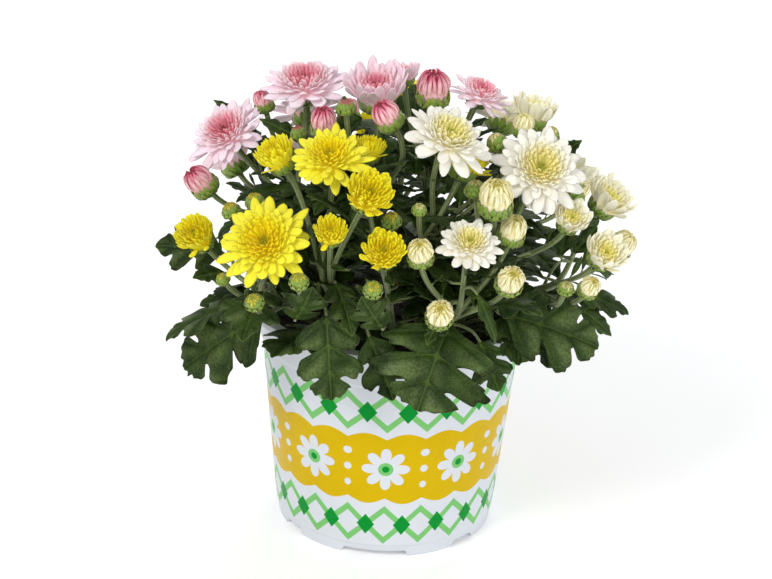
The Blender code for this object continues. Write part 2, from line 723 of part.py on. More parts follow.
SHARP_ANGLE = 40.0
MATERIALS = {
    "pot": ((0.80, 0.82, 0.85), 0.35),
    "soil": ((0.035, 0.025, 0.018), 0.95),
    "green": ((0.075, 0.14, 0.04), 0.6),
    "pink": ((0.75, 0.42, 0.56), 0.6),
    "yellow": ((0.85, 0.66, 0.02), 0.55),
    "white": ((0.86, 0.86, 0.76), 0.6),
}


def finish(thing, colour_name):
    """Gives a solid its material and smooth shading, broken at its sharp edges."""
    colour, roughness = MATERIALS[colour_name]
    material = bpy.data.materials.get(colour_name) or bpy.data.materials.new(colour_name)
    material.use_nodes = True
    shader = material.node_tree.nodes["Principled BSDF"]
    shader.inputs["Base Color"].default_value = (*colour, 1.0)
    shader.inputs["Roughness"].default_value = roughness
    shader.inputs["Metallic"].default_value = 0.0
    thing.data.materials.clear()
    thing.data.materials.append(material)
    thing.data.shade_smooth()
    thing.data.set_sharp_from_angle(angle=math.radians(SHARP_ANGLE))
    return thing


# Pot and soil

def wall_radius(height):
    return POT_WALL_LOW + (POT_WALL_HIGH - POT_WALL_LOW) * height / POT_HEIGHT


def inner_radius(height):
    """The pot's inner wall: a straight taper from the floor up to the rim."""
    floor = wall_radius(FOOT_HEIGHT) - LEDGE - WALL
    share = (height - FOOT_HEIGHT - WALL) / (POT_HEIGHT - FOOT_HEIGHT - WALL)
    return floor + (wall_radius(POT_HEIGHT) - WALL / 2 - floor) * share


def notch_lift(turn):
    """How far the foot's edge is lifted at an angle, in degrees from the front."""
    lift = 0.0
    for number in range(NOTCHES):
        centre = NOTCH_TURN + 360.0 * number / NOTCHES
        away = abs((turn - centre + 180.0) % 360.0 - 180.0)
        half = WIDE_NOTCH if number == 0 else NARROW_NOTCH
        lift = max(lift, NOTCH_HEIGHT * min(1.0, max(0.0, (half + NOTCH_RAMP - away) / NOTCH_RAMP)))
    return lift


def pot_profile():
    """The pot's section from the middle of its underside out, up the wall and down inside."""
    rim = POT_HEIGHT
    foot = wall_radius(0.0) - LEDGE
    under_lip = rim - LIP_HEIGHT
    return (
        (0.0, FOOT_HEIGHT),
        (foot - FOOT_WIDTH, FOOT_HEIGHT),
        (foot - FOOT_WIDTH, 0.0),
        (foot, 0.0),
        (wall_radius(STEP_HEIGHT) - LEDGE, STEP_HEIGHT),
        (wall_radius(STEP_HEIGHT), STEP_HEIGHT + LEDGE),
        (wall_radius(COLLAR_HEIGHT), COLLAR_HEIGHT),
        (wall_radius(COLLAR_HEIGHT) + LEDGE, COLLAR_HEIGHT + LEDGE),
        (wall_radius(under_lip) + LEDGE, under_lip),
        (LIP_RADIUS, under_lip + LEDGE),
        (LIP_RADIUS - LEDGE / 2, rim),
        (inner_radius(rim), rim),
        (inner_radius(FOOT_HEIGHT + WALL), FOOT_HEIGHT + WALL),
        (0.0, FOOT_HEIGHT + WALL),
    )


def make_pot():
    """The turned pot, with notches lifted into its foot and drain holes through its floor."""
    pot = turned("pot", pot_profile(), np.array((0.0, 0.0, 1.0)), np.zeros(3), POT_SIDES)
    for vertex in pot.data.vertices:
        if vertex.co.z < 1e-6:
            turn = math.degrees(math.atan2(vertex.co.x, -vertex.co.y))
            vertex.co.z = notch_lift(turn) * MM
    cutters = []
    for number in range(DRAIN_HOLES):
        turn = 2 * math.pi * number / DRAIN_HOLES
        place = np.array((DRAIN_CIRCLE * math.cos(turn), DRAIN_CIRCLE * math.sin(turn), 0.0))
        low = place + (0, 0, FOOT_HEIGHT - CUT_BELOW)
        high = place + (0, 0, FOOT_HEIGHT + CUT_ABOVE)
        cutters.append(tube(np.array((low, high)), (DRAIN_RADIUS,) * 2, DRAIN_SIDES))
    cut(pot, cutters)
    return finish(pot, "pot")


def make_soil():
    """The peat fill, crumbly on top, with a plain hole for each stem."""
    low = FOOT_HEIGHT + WALL + CLEAR
    edge = inner_radius(SOIL_TOP - SOIL_INSET) - SOIL_CLEAR
    profile = [(0.0, low), (inner_radius(low) - SOIL_INSET, low),
               (inner_radius(SOIL_FOOT) - SOIL_CLEAR, SOIL_FOOT), (edge, SOIL_TOP - SOIL_INSET)]
    profile += [(edge * share, SOIL_TOP - 1.0) for share in (0.75, 0.4)]
    profile.append((0.0, SOIL_TOP))
    soil = turned("soil", profile, np.array((0.0, 0.0, 1.0)), np.zeros(3), SOIL_SIDES)
    for vertex in soil.data.vertices:
        x, y, z = (c / MM for c in vertex.co)
        if z > SOIL_TOP - 1.5:
            vertex.co.z += SOIL_SWELL * math.sin(0.31 * x + 1.0) * math.cos(0.27 * y) * MM
    cutters = []
    for (x, y), _ in STEMS.values():
        low = np.array((x, y, SOIL_TOP - HOLE_DEPTH))
        high = np.array((x, y, SOIL_TOP + 2 * CUT_ABOVE))
        cutters.append(tube(np.array((low, high)), (HOLE_RADIUS,) * 2, HOLE_SIDES))
    cut(soil, cutters)
    return finish(soil, "soil")


# Plant

def make_stalk(route, head):
    """A side stalk that widens into the cup under its head, or into a tight green bud."""
    base, axis, radius = head["base"], head["axis"], head["radius"]
    points = list(route[ROUTE_KEYS])
    radii = [STALK_RADIUS * swell for swell in (1.15, 1.05, 1.0, 1.0)]
    if head["form"] == "green":
        points += [base + axis * share * head["height"] for share in (0.5, 1.0)]
        radii += [radius, 0.3 * radius]
    else:
        points.append(base - axis * CLEAR)
        radii.append(FORMS[head["form"]]["core"][0][0] * radius + CLEAR)
    return tube(np.array(points), radii, STALK_SIDES[head["form"]])


def make_stem(name, stem):
    """One leafy stem: main stem, side stalks, cups under the heads, tight buds and leaves."""
    main = stem["main"]
    foot = main[0] - np.array((0.0, 0.0, MAIN_START + HOLE_DEPTH - CLEAR))
    route = np.concatenate([foot[None, :], main[ROUTE_KEYS]])
    radii = np.linspace(MAIN_RADIUS, MAIN_TOP_RADIUS, len(route))
    pieces = [tube(route, radii, 6)]
    pieces += [make_stalk(route, head) for route, head in stem["stalks"]]
    pieces += [make_blade(leaf) for leaf in stem["leaves"]]
    return finish(fuse("stem_" + name, pieces), "green")


def main():
    for thing in list(bpy.data.objects):
        bpy.data.objects.remove(thing, do_unlink=True)
    draw = random.Random(SEED)
    heads, stems = grow()
    make_pot()
    make_soil()
    for name, stem in stems.items():
        make_stem(name, stem)
    counts = {}
    for head in heads:
        if head["form"] == "green":
            continue
        label = f"{head['colour']}_{head['form']}"
        counts[label] = counts.get(label, 0) + 1
        thing = make_head(f"{label}_{counts[label]}", head, draw)
        finish(thing, head["colour"])


main()
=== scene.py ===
"""The looks of the pot chrysanthemum: petals, buds, leaves, stems, peat and the printed pot.

The plan of the plant, from the tables to add_leaves, is the one that the solids are made from, so
that each fine piece lies where its solid does. The tables are in millimetres.
"""

import math
import random

import bpy
import numpy as np
from mathutils import Matrix, Vector


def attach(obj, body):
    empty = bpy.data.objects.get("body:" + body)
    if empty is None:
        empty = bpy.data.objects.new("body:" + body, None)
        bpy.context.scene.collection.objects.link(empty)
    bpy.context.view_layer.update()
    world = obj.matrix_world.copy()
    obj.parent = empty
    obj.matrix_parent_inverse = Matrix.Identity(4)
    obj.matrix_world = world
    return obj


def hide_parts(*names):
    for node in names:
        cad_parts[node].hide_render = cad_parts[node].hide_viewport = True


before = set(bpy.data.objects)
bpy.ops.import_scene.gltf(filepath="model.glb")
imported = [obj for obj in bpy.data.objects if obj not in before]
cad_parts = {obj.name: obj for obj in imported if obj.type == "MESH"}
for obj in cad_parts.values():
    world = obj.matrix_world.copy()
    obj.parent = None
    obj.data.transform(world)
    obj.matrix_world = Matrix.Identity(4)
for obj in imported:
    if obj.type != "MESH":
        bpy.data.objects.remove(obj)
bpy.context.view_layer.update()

MM = 0.001
CLEAR = 0.3
SEED = 5

# Pot
POT_HEIGHT = 115.0
POT_WALL_LOW = 54.3
POT_WALL_HIGH = 65.1
LIP_RADIUS = 70.0
LIP_HEIGHT = 4.0
WALL = 1.3
STEP_HEIGHT = 6.0
COLLAR_HEIGHT = 95.5
LEDGE = 0.8
FOOT_WIDTH = 3.0
FOOT_HEIGHT = 5.0
NOTCHES = 7
NOTCH_HEIGHT = 3.0
NOTCH_RAMP = 3.0
WIDE_NOTCH = 15.0
NARROW_NOTCH = 5.0
NOTCH_TURN = -4.3
DRAIN_HOLES = 6
DRAIN_RADIUS = 4.0
DRAIN_CIRCLE = 31.0

# Soil
SOIL_TOP = 100.0
SOIL_CLEAR = 0.6

# Stems and stalks
MAIN_RADIUS = 2.4
MAIN_TOP_RADIUS = 1.7
MAIN_START = 4.0
MAIN_SUNK = 8.0
MAIN_RISE = 0.45
MAIN_LEAN = 0.6
STALK_RADIUS = 1.15
ROUTE_POINTS = 17
STALK_SPREAD = 10
STALK_LEAVE = 0.3
STALK_ARRIVE = 0.4
STALK_GAP = 4.6
BEND_ROUNDS = 60
BEND_PUSH = 0.4
HEAD_MARGIN = 1.2

# Leaves
FOLD_LIFT = 0.30
FOLD_DROOP = 0.34
PLACED_ARCH = 0.12
RULED_ARCH = 0.16
PETIOLE_BEND = 0.35
PETIOLE_RISE = 0.6
LEAFY_POINTS = 11
START_BELOW = 4.0
START_BELOW_COST = 1.2
LEAF_GAP = 4.4
LEAF_HEAD_MARGIN = 1.8
LEAF_REACH = (114.0, 102.0)
LEAF_OVER_SOIL = 3.5
LEAF_OVER_RIM = 2.0
LEAF_OFF_LIP = 2.5
LEAF_OFF_WALL = 5.0
LEAF_STEP = 4
LEAF_TRIES = 50
PLANT_RISE = 110.0
RULED_LENGTH = (40, 54)
RULED_PETIOLE = (0.22, 0.45)
RULED_WIDTH = (0.52, 0.72)
RULED_TURN = 12
RULED_SHRINK = 0.55
LOW_SHARE = 0.4
RULED_DIP_LOW = (-0.8, 0.4)
RULED_DIP_HIGH = (-0.3, 1.2)
TRY_MOVE = 0.22
TRY_SWING = 0.6
TRY_TURN = 0.3
TRY_SHRINK = 0.012
LARGE_LENGTH = 44
MEDIUM_LENGTH = 24
INNER_TRIES = 16
INNER_REACH = 84.0
INNER_LENGTH = (22, 38)
INNER_STALK = (3, 8)
INNER_MARGIN = 0.8
LEAFLET_NODES = (7, 11)
LEAFLET_LENGTH = (7, 15)
LEAFLET_STALK = 2.2
LEAFLET_ARCH = 0.10
LEAFLET_MARGIN = 0.4
GRID = 5.0
GOLDEN_ANGLE = 137.5

# Each stem: its flowers' colour, where it stands in the soil, where it forks, and its heads. Each
# head: its form, middle and diameter, and how far it leans along x and y.
STEMS = {
    "pink_left": ("pink", (-26, 2), (-46, -4, 160), (
        ("bloom", (-46, 5, 224), 44, (-0.1, -0.2)),
        ("bloom", (-83, 0, 199), 41, (-0.5, -0.5)),
        ("bud", (-94, -18, 180), 14, (-0.8, -0.3)),
        ("bud", (-66, 14, 210), 10, (-0.3, 0.1)),
    )),
    "pink_middle": ("pink", (-8, 0), (-14, -14, 168), (
        ("half", (-12, -12, 229), 28, (-0.1, -0.2)),
        ("bud", (-7, -48, 227), 13, (-0.6, -0.2)),
        ("bud", (-35, -34, 218), 13, (-0.1, -0.2)),
        ("green", (-25, -38, 226), 8, (-0.1, -0.2)),
        ("green", (-47, -22, 207), 7, (-0.2, -0.1)),
    )),
    "pink_right": ("pink", (10, 12), (14, 0, 168), (
        ("half", (1, 14, 227), 15, (-0.1, 0.1)),
        ("bud", (15, -14, 230), 16, (0.0, -0.2)),
        ("bloom", (38, -4, 225), 31, (0.35, -0.15)),
    )),
    "yellow_left": ("yellow", (-36, -20), (-60, -46, 134), (
        ("bloom", (-59, -80, 176), 44, (-0.3, -1.0)),
        ("half", (-92, -50, 165), 20, (-0.5, -0.7)),
        ("green", (-76, -50, 178), 8, (-0.3, -0.3)),
        ("green", (-65, -52, 184), 8, (-0.2, -0.2)),
        ("green", (-78, -70, 152), 6, (-0.5, -0.5)),
        ("green", (-62, -92, 151), 8, (-0.2, -0.8)),
    )),
    "yellow_middle": ("yellow", (-19, -32), (-32, -56, 146), (
        ("bloom", (-31, -62, 212), 38, (-0.1, -0.45)),
        ("half", (-56, -50, 206), 20, (-0.6, -0.2)),
        ("half", (-12, -84, 202), 22, (0.3, -0.8)),
        ("half", (-29, -84, 183), 16, (0.0, -0.6)),
        ("green", (-42, -94, 163), 8, (0.0, -0.6)),
    )),
    "yellow_right": ("yellow", (0, -42), (-2, -62, 144), (
        ("half", (-13, -45, 209), 15, (0.1, 0.0)),
        ("half", (-5, -92, 178), 20, (0.0, -0.9)),
        ("half", (32, -38, 203), 21, (0.4, 0.2)),
        ("green", (-9, -98, 162), 8, (0.0, -0.8)),
        ("green", (-2, -74, 186), 8, (0.0, -0.4)),
    )),
    "white_middle": ("white", (13, -18), (18, -38, 164), (
        ("bloom", (23, -60, 223), 41, (0.35, -0.35)),
        ("half", (63, -12, 220), 21, (0.2, 0.1)),
        ("bud", (57, -29, 218), 10, (0.1, 0.0)),
        ("green", (71, -16, 209), 8, (0.4, 0.0)),
        ("green", (44, -38, 212), 9, (-0.5, 0.0)),
        ("green", (10, -78, 193), 6, (0.0, -0.5)),
    )),
    "white_right": ("white", (32, -22), (48, -40, 156), (
        ("bloom", (65, -52, 206), 42, (0.2, -1.0)),
        ("bud", (44, -72, 199), 16, (0.0, -0.3)),
        ("half", (80, -55, 183), 17, (0.3, -0.5)),
        ("green", (35, -62, 198), 9, (-0.1, -0.1)),
    )),
    "white_edge": ("white", (44, -4), (76, -30, 138), (
        ("half", (101, -20, 180), 22, (0.7, -0.2)),
        ("half", (97, -56, 167), 20, (0.5, -0.6)),
        ("bud", (108, -27, 160), 13, (0.7, -0.1)),
        ("bud", (90, -66, 154), 10, (0.4, -0.6)),
        ("green", (78, -74, 156), 7, (0.1, -0.6)),
    )),
    "white_front": ("white", (22, -38), (30, -66, 138), (
        ("bloom", (33, -88, 183), 30, (0.1, -0.5)),
        ("bud", (53, -68, 182), 13, (0.2, -0.3)),
        ("bud", (11, -90, 178), 12, (-0.1, -0.5)),
        ("bud", (52, -92, 167), 13, (0.2, -0.8)),
        ("bud", (21, -96, 151), 13, (0.0, -0.9)),
    )),
    "back_left": ("pink", (-30, 28), (-52, 46, 146), (
        ("bloom", (-46, 50, 196), 40, (-0.2, 0.7)),
        ("half", (-84, 38, 172), 22, (-0.7, 0.4)),
        ("bloom", (-58, 76, 164), 36, (-0.4, 1.1)),
        ("bud", (-26, 74, 186), 12, (-0.1, 0.6)),
    )),
    "back_middle": ("yellow", (0, 36), (2, 56, 156), (
        ("bloom", (4, 56, 204), 38, (0.0, 0.5)),
        ("half", (-14, 91, 171), 22, (-0.2, 0.9)),
        ("bud", (22, 84, 178), 13, (0.2, 0.7)),
    )),
    "back_right": ("white", (32, 26), (54, 42, 146), (
        ("bloom", (52, 46, 198), 40, (0.3, 0.6)),
        ("half", (90, 28, 176), 22, (0.8, 0.3)),
        ("bloom", (62, 76, 164), 36, (0.4, 1.1)),
        ("bud", (92, 54, 156), 12, (0.7, 0.6)),
    )),
}

# Each head form's height, and the height of the green cup under it, as shares of its radius
HEAD_HEIGHT = {"bloom": 0.70, "half": 1.35, "bud": 1.70, "green": 1.6}
CALYX = {"bloom": 0.24, "half": 0.36, "bud": 0.55, "green": 0.0}

# Leaf outlines as (share of the blade's length, share of its half width), from base to tip
OUTLINES = {
    "large": ((0.0, 0.08), (0.18, 0.40), (0.34, 0.88), (0.43, 0.42), (0.62, 1.0), (0.72, 0.40),
              (0.86, 0.46), (1.0, 0.0)),
    "medium": ((0.0, 0.10), (0.30, 0.78), (0.40, 0.42), (0.62, 1.0), (0.73, 0.42), (1.0, 0.0)),
    "small": ((0.0, 0.12), (0.38, 0.95), (0.52, 0.60), (0.70, 0.62), (1.0, 0.0)),
}

# Leaves given one by one: stem, outline, blade's base, its tip, its width, and the way its face
# looks
PLACED_LEAVES = (
    ("yellow_left", "large", (-58, -60, 130), (-97, -56, 99), 38, (-0.3, -0.7, 0.6)),
    ("yellow_left", "medium", (-63, -24, 122), (-92, -28, 119), 22, (-0.1, -0.3, 1.0)),
    ("yellow_middle", "large", (-30, -76, 140), (-26, -92, 103), 30, (0.0, -1.0, 0.4)),
    ("yellow_right", "medium", (-12, -76, 130), (0, -88, 102), 22, (0.1, -1.0, 0.4)),
    ("white_front", "large", (26, -76, 137), (13, -99, 103), 56, (-0.1, -1.0, 0.6)),
    ("white_front", "medium", (40, -74, 128), (50, -86, 108), 20, (0.3, -1.0, 0.4)),
    ("white_edge", "large", (50, -66, 138), (96, -64, 122), 38, (0.1, -0.7, 0.8)),
    ("white_edge", "medium", (84, -42, 140), (112, -36, 127), 18, (0.2, -0.4, 1.0)),
    ("white_edge", "small", (86, -46, 134), (104, -42, 118), 14, (0.4, -0.6, 0.6)),
    ("white_front", "small", (37, -84, 156), (47, -90, 134), 9, (0.6, -0.8, 0.2)),
    ("yellow_left", "medium", (-80, -30, 147), (-113, -28, 149), 26, (0.0, -0.6, 0.8)),
    ("yellow_left", "small", (-78, -50, 146), (-92, -62, 148), 14, (0.0, -0.6, 0.8)),
    ("yellow_right", "medium", (24, -82, 153), (6, -92, 160), 17, (0.2, -0.8, 0.7)),
    ("white_middle", "small", (72, -6, 190), (86, -8, 203), 12, (-0.4, -0.8, 0.4)),
    ("pink_left", "small", (-72, 12, 196), (-91, 24, 206), 10, (0.2, -0.6, 0.8)),
    ("pink_middle", "small", (-22, -16, 204), (-24, -8, 222), 15, (0.0, -0.9, 0.4)),
    ("white_edge", "small", (78, -34, 154), (80, -36, 180), 15, (-0.1, -1.0, 0.2)),
    ("white_edge", "small", (84, -30, 154), (95, -24, 166), 11, (-0.2, -1.0, 0.4)),
    ("pink_left", "small", (-46, -14, 200), (-66, -10, 208), 10, (0.0, -0.8, 0.6)),
    ("yellow_middle", "medium", (-44, -78, 136), (-36, -90, 158), 20, (0.2, -1.0, 0.1)),
    ("yellow_right", "medium", (-4, -84, 136), (-14, -94, 156), 18, (0.0, -1.0, 0.2)),
)


# Vectors and curves

def unit(vector):
    vector = np.asarray(vector, float)
    return vector / np.linalg.norm(vector)


def unit_rows(vectors):
    return vectors / np.linalg.norm(vectors, axis=-1, keepdims=True)


def bezier(start, leave, arrive, end, count):
    """Points along the cubic curve from start to end with the two middle handles given."""
    t = np.linspace(0.0, 1.0, count)[:, None]
    one = 1.0 - t
    return one**3 * start + 3 * one**2 * t * leave + 3 * one * t**2 * arrive + t**3 * end


def across(direction):
    """Two unit vectors square to a direction and to each other."""
    helper = (0.0, 0.0, 1.0) if abs(direction[2]) < 0.9 else (1.0, 0.0, 0.0)
    side = unit(np.cross(helper, direction))
    return side, np.cross(direction, side)


def circle(side, other, count):
    """Unit vectors all round, from the first direction towards the second."""
    turns = 2 * math.pi * np.arange(count) / count
    return np.cos(turns)[:, None] * side + np.sin(turns)[:, None] * other


# Plan of the plant: heads, routes of stems and stalks, leaves

def head_plan(stem, row):
    """Where one head sits: its base, its axis and its half sizes."""
    form, middle, diameter, lean = row
    axis = unit((*lean, 1.0))
    radius = diameter / 2
    height = radius * HEAD_HEIGHT[form]
    middle = np.array(middle, float)
    return {"stem": stem, "form": form, "colour": STEMS[stem][0], "radius": radius, "axis": axis,
            "height": height, "base": middle - axis * height / 2, "middle": middle}


def main_route(name):
    """A main stem's line, upright at its foot and leaning over to its fork."""
    _, foot, fork, _ = STEMS[name]
    low = np.array((*foot, SOIL_TOP + MAIN_START))
    fork = np.array(fork, float)
    rise = (fork[2] - low[2]) * MAIN_RISE
    lean = unit(fork - low) * rise * MAIN_LEAN
    return bezier(low, low + (0.0, 0.0, rise), fork - lean, fork, ROUTE_POINTS)


def stalk_route(main, head, share):
    """From a point on the main stem to the foot of the head's cup, along the head's axis."""
    start = main[-1 - int(share * STALK_SPREAD)]
    end = head["base"] - head["axis"] * (CLEAR + CALYX[head["form"]] * head["radius"])
    reach = np.linalg.norm(end - start)
    way = unit(unit(main[-1] - main[-5]) + 0.5 * unit(end - start))
    return bezier(start, start + way * reach * STALK_LEAVE,
                  end - head["axis"] * reach * STALK_ARRIVE, end, ROUTE_POINTS)


def push_from_head(points, head, margin):
    """Points inside the head's flattened ball, moved out to its surface."""
    offset = points - head["middle"]
    along = offset @ head["axis"]
    radial = offset - along[:, None] * head["axis"]
    share = np.sqrt(
        (np.linalg.norm(radial, axis=1) / (head["radius"] + margin)) ** 2
        + (along / (head["height"] / 2 + margin)) ** 2
    )
    inside = share < 1.0
    points[inside] = head["middle"] + offset[inside] / np.maximum(share[inside], 0.2)[:, None]


def bend_clear(routes, owners, heads):
    """Bends all routes clear of those of other stems, and of the heads that aren't their own.

    The main stems' routes come first, and then one stalk's for each head. Both ends are held.
    """
    first = np.array(routes)
    routes = first.copy()
    count, length = routes.shape[:2]
    mains = count - len(heads)
    owner = np.repeat(owners, length)
    apart = owner[:, None] != owner[None, :]
    held = np.zeros(length, bool)
    held[[0, 1, -2, -1]] = True
    for _ in range(BEND_ROUNDS):
        flat = routes.reshape(-1, 3)
        gap = flat[:, None, :] - flat[None, :, :]
        distance = np.linalg.norm(gap, axis=2) + 1e-6
        short = np.where(apart & (distance < STALK_GAP), STALK_GAP - distance, 0.0)
        moved = flat + BEND_PUSH * np.einsum("ij,ijk->ik", short / distance, gap)
        moved = moved.reshape(count, length, 3)
        for index, route in enumerate(moved):
            for number, head in enumerate(heads):
                if number != index - mains:
                    push_from_head(route, head, STALK_RADIUS + HEAD_MARGIN)
        drift = moved - first
        smooth = drift.copy()
        smooth[:, 1:-1] = 0.5 * drift[:, 1:-1] + 0.25 * (drift[:, :-2] + drift[:, 2:])
        smooth[:, held] = 0.0
        routes = first + smooth
    return routes


def leaf_grid(leaf):
    """Points spread over a leaf and its stalk, about a grid step apart."""
    points = [leaf["petiole"]]
    lengths, halves = zip(*leaf["outline"])
    for u in np.linspace(0.0, 1.0, max(3, int(leaf["length"] / GRID) + 2)):
        # The gaps between the lobes are kept clear as well
        half = max(np.interp(u, lengths, halves), 0.55 if 0.25 < u < 0.8 else 0.2)
        count = max(1, int(math.ceil(half * leaf["width"] / GRID)))
        for v in np.linspace(-half, half, count + 1):
            points.append(leaf_point(leaf, u, v)[None, :])
    return np.concatenate(points)


def leaf_frame(leaf, u):
    """The rib's point at u with its side and face directions."""
    base, handle, tip = leaf["rib"]
    point = (1 - u) ** 2 * base + 2 * u * (1 - u) * handle + u * u * tip
    along = unit(2 * (1 - u) * (handle - base) + 2 * u * (tip - handle))
    side = unit(np.cross(along, leaf["face"]))
    return point, side, np.cross(side, along)


def leaf_point(leaf, u, v):
    """A point of the blade, u along it and v across it: each side lifts a little, then droops."""
    point, side, face = leaf_frame(leaf, u)
    half = leaf["width"] / 2
    return point + side * v * half + face * half * (FOLD_LIFT * abs(v) - FOLD_DROOP * v * v)


def make_leaf(stem, outline, start, base, tip, width, face, arch):
    """A leaf whose stalk runs from start to the blade's base, with its rib arched on to the tip."""
    length = np.linalg.norm(tip - base)
    face = unit(face)
    handle = (base + tip) / 2 + face * arch * length
    along = unit(handle - base)
    reach = np.linalg.norm(base - start)
    outward = unit(unit(base - start) + (0.0, 0.0, PETIOLE_RISE))
    petiole = bezier(start, start + outward * reach * PETIOLE_BEND,
                     base - along * reach * PETIOLE_BEND, base, max(3, int(reach / GRID) + 2))
    return {"stem": stem, "outline": OUTLINES[outline], "kind": outline, "petiole": petiole,
            "rib": (base, handle, tip), "face": face, "width": width, "length": length}


def clear_of_pot(points):
    """True where no point lies in the soil or near the pot's wall and lip."""
    reach, height = np.hypot(points[:, 0], points[:, 1]), points[:, 2]
    near_wall = (reach > POT_WALL_HIGH - LEAF_OFF_WALL) & (reach < LIP_RADIUS + LEAF_OFF_LIP)
    in_wall = near_wall & (height < POT_HEIGHT + LEAF_OVER_RIM)
    in_soil = (height < SOIL_TOP + LEAF_OVER_SOIL) & (reach <= POT_WALL_HIGH)
    return not (in_wall.any() or in_soil.any())


def within_reach(points):
    """True where no leaf point lies outside the plant's breadth and depth."""
    return (np.abs(points[:, :2]) <= LEAF_REACH).all()


def clear_of_heads(points, heads, margin):
    """True where no point lies in a head, or within a margin of it."""
    trial = points.copy()
    for head in heads:
        push_from_head(trial, head, margin)
    return np.allclose(trial, points)


def clear_of_others(points, taken, owner, stem):
    """True where no point lies near what another stem has taken up."""
    others = taken[owner != stem]
    if not len(others):
        return True
    gap = np.linalg.norm(points[:, None, :] - others[None, :, :], axis=2)
    return gap.min() > LEAF_GAP


def grow():
    """The whole plan: heads, and for each stem its main route, stalks and leaves."""
    names = list(STEMS)
    routes = [main_route(name) for name in names]
    owners = list(range(len(names)))
    heads = []
    for owner, name in enumerate(names):
        rows = STEMS[name][-1]
        for number, row in enumerate(rows):
            heads.append(head_plan(name, row))
            routes.append(stalk_route(routes[owner], heads[-1], number / len(rows)))
            owners.append(owner)
    routes = bend_clear(routes, owners, heads)
    stems = {name: {"main": route, "stalks": [], "leaves": []}
             for name, route in zip(names, routes)}
    for head, route in zip(heads, routes[len(names):]):
        stems[head["stem"]]["stalks"].append((route, head))
    owner = np.repeat([names[number] for number in owners], ROUTE_POINTS)
    add_leaves(stems, heads, routes.reshape(-1, 3), owner)
    return heads, stems


def nearest_start(stem, base):
    """The point of a stem's routes that a leaf with this base grows from, rather low than high."""
    candidates = [stem["main"][2:]] + [route[:LEAFY_POINTS] for route, _ in stem["stalks"]]
    points = np.concatenate(candidates)
    away = points - base
    too_high = np.maximum(away[:, 2] + START_BELOW, 0.0)
    cost = np.linalg.norm(away, axis=1) + START_BELOW_COST * too_high
    return points[np.argmin(cost)]


def placed_leaf(row, stem, draw, attempt):
    """A listed leaf, moved and turned a little more with each attempt that isn't clear."""
    name, outline, base, tip, width, face = row
    reach = 0.0 if attempt == 0 else 1.0 + attempt * TRY_MOVE
    shift = np.array([draw.uniform(-reach, reach) for _ in range(3)])
    swing = np.array([draw.uniform(-reach, reach) for _ in range(3)])
    base, tip = base + shift, tip + shift + swing * TRY_SWING
    return make_leaf(name, outline, nearest_start(stem, base), base, tip, width, face, PLACED_ARCH)


def rule_leaf(name, start, draw, turn, attempt):
    """A leaf by rule: large and drooping low down, small and upright higher up."""
    height = min(1.0, max(0.0, (start[2] - SOIL_TOP) / PLANT_RISE))
    turn += math.radians(draw.uniform(-RULED_TURN, RULED_TURN) * (1 + attempt * TRY_TURN))
    way = np.array((math.cos(turn), math.sin(turn), 0.0))
    length = draw.uniform(*RULED_LENGTH) * (1.0 - RULED_SHRINK * height)
    length *= 1.0 - TRY_SHRINK * attempt
    petiole = length * draw.uniform(*RULED_PETIOLE)
    base = start + way * petiole + (0.0, 0.0, draw.uniform(0.1, 0.9) * petiole)
    dip = draw.uniform(*(RULED_DIP_LOW if height < LOW_SHARE else RULED_DIP_HIGH))
    along = unit(way + (0.0, 0.0, dip))
    face = unit(np.array((0.0, 0.0, 1.0)) - along * along[2] + 0.25 * way)
    kind = "large" if length > LARGE_LENGTH else "medium" if length > MEDIUM_LENGTH else "small"
    width = length * draw.uniform(*RULED_WIDTH) * (0.8 if kind == "small" else 1.0)
    return make_leaf(name, kind, start, base, base + along * length, width, face, RULED_ARCH)


def add_leaves(stems, heads, taken, owner):
    """Adds each leaf that lies clear of the pot, the heads and everything on the other stems."""
    draw = random.Random(SEED)

    def keep_first_clear(attempts):
        """Keeps the first of some tries at a leaf that is clear, if there is one."""
        nonlocal taken, owner
        for leaf in attempts:
            grid, stem = leaf_grid(leaf), leaf["stem"]
            if (clear_of_pot(grid[2:]) and within_reach(grid)
                    and clear_of_heads(grid, heads, LEAF_HEAD_MARGIN)
                    and clear_of_others(grid[1:], taken, owner, stem)):
                taken = np.concatenate([taken, grid])
                owner = np.concatenate([owner, np.repeat(stem, len(grid))])
                stems[stem]["leaves"].append(leaf)
                return

    for row in PLACED_LEAVES:
        keep_first_clear(placed_leaf(row, stems[row[0]], draw, attempt)
                         for attempt in range(LEAF_TRIES))
    for name, stem in stems.items():
        starts = [stem["main"][index] for index in range(1, ROUTE_POINTS - 1, LEAF_STEP)]
        starts += [route[draw.randrange(3, 9)] for route, _ in stem["stalks"][1::4]]
        for number, start in enumerate(starts):
            turn = math.atan2(start[1], start[0]) + math.radians(GOLDEN_ANGLE * number)
            keep_first_clear(rule_leaf(name, start, draw, turn, attempt)
                             for attempt in range(LEAF_TRIES))


# Fine surfaces

VALUE_NAMES = ("along", "across", "age", "tone", "vein", "edge", "under")


class Surfaces:
    """The points, quads and per-point values of one piece, gathered from many closed surfaces."""

    def __init__(self):
        self.points, self.faces, self.slots = [], [], []
        self.values = {name: [] for name in VALUE_NAMES}
        self.count = 0

    def add(self, points, faces, slot, **values):
        """Adds a closed surface, facing outwards. A value is one number or one for each point."""
        if volume(points, faces) < 0:
            faces = faces[:, ::-1]
        self.points.append(points)
        self.faces.append(faces + self.count)
        self.slots.append(np.full(len(faces), slot))
        for name in VALUE_NAMES:
            value = np.broadcast_to(np.asarray(values.get(name, 0.0), float), (len(points),))
            self.values[name].append(value)
        self.count += len(points)


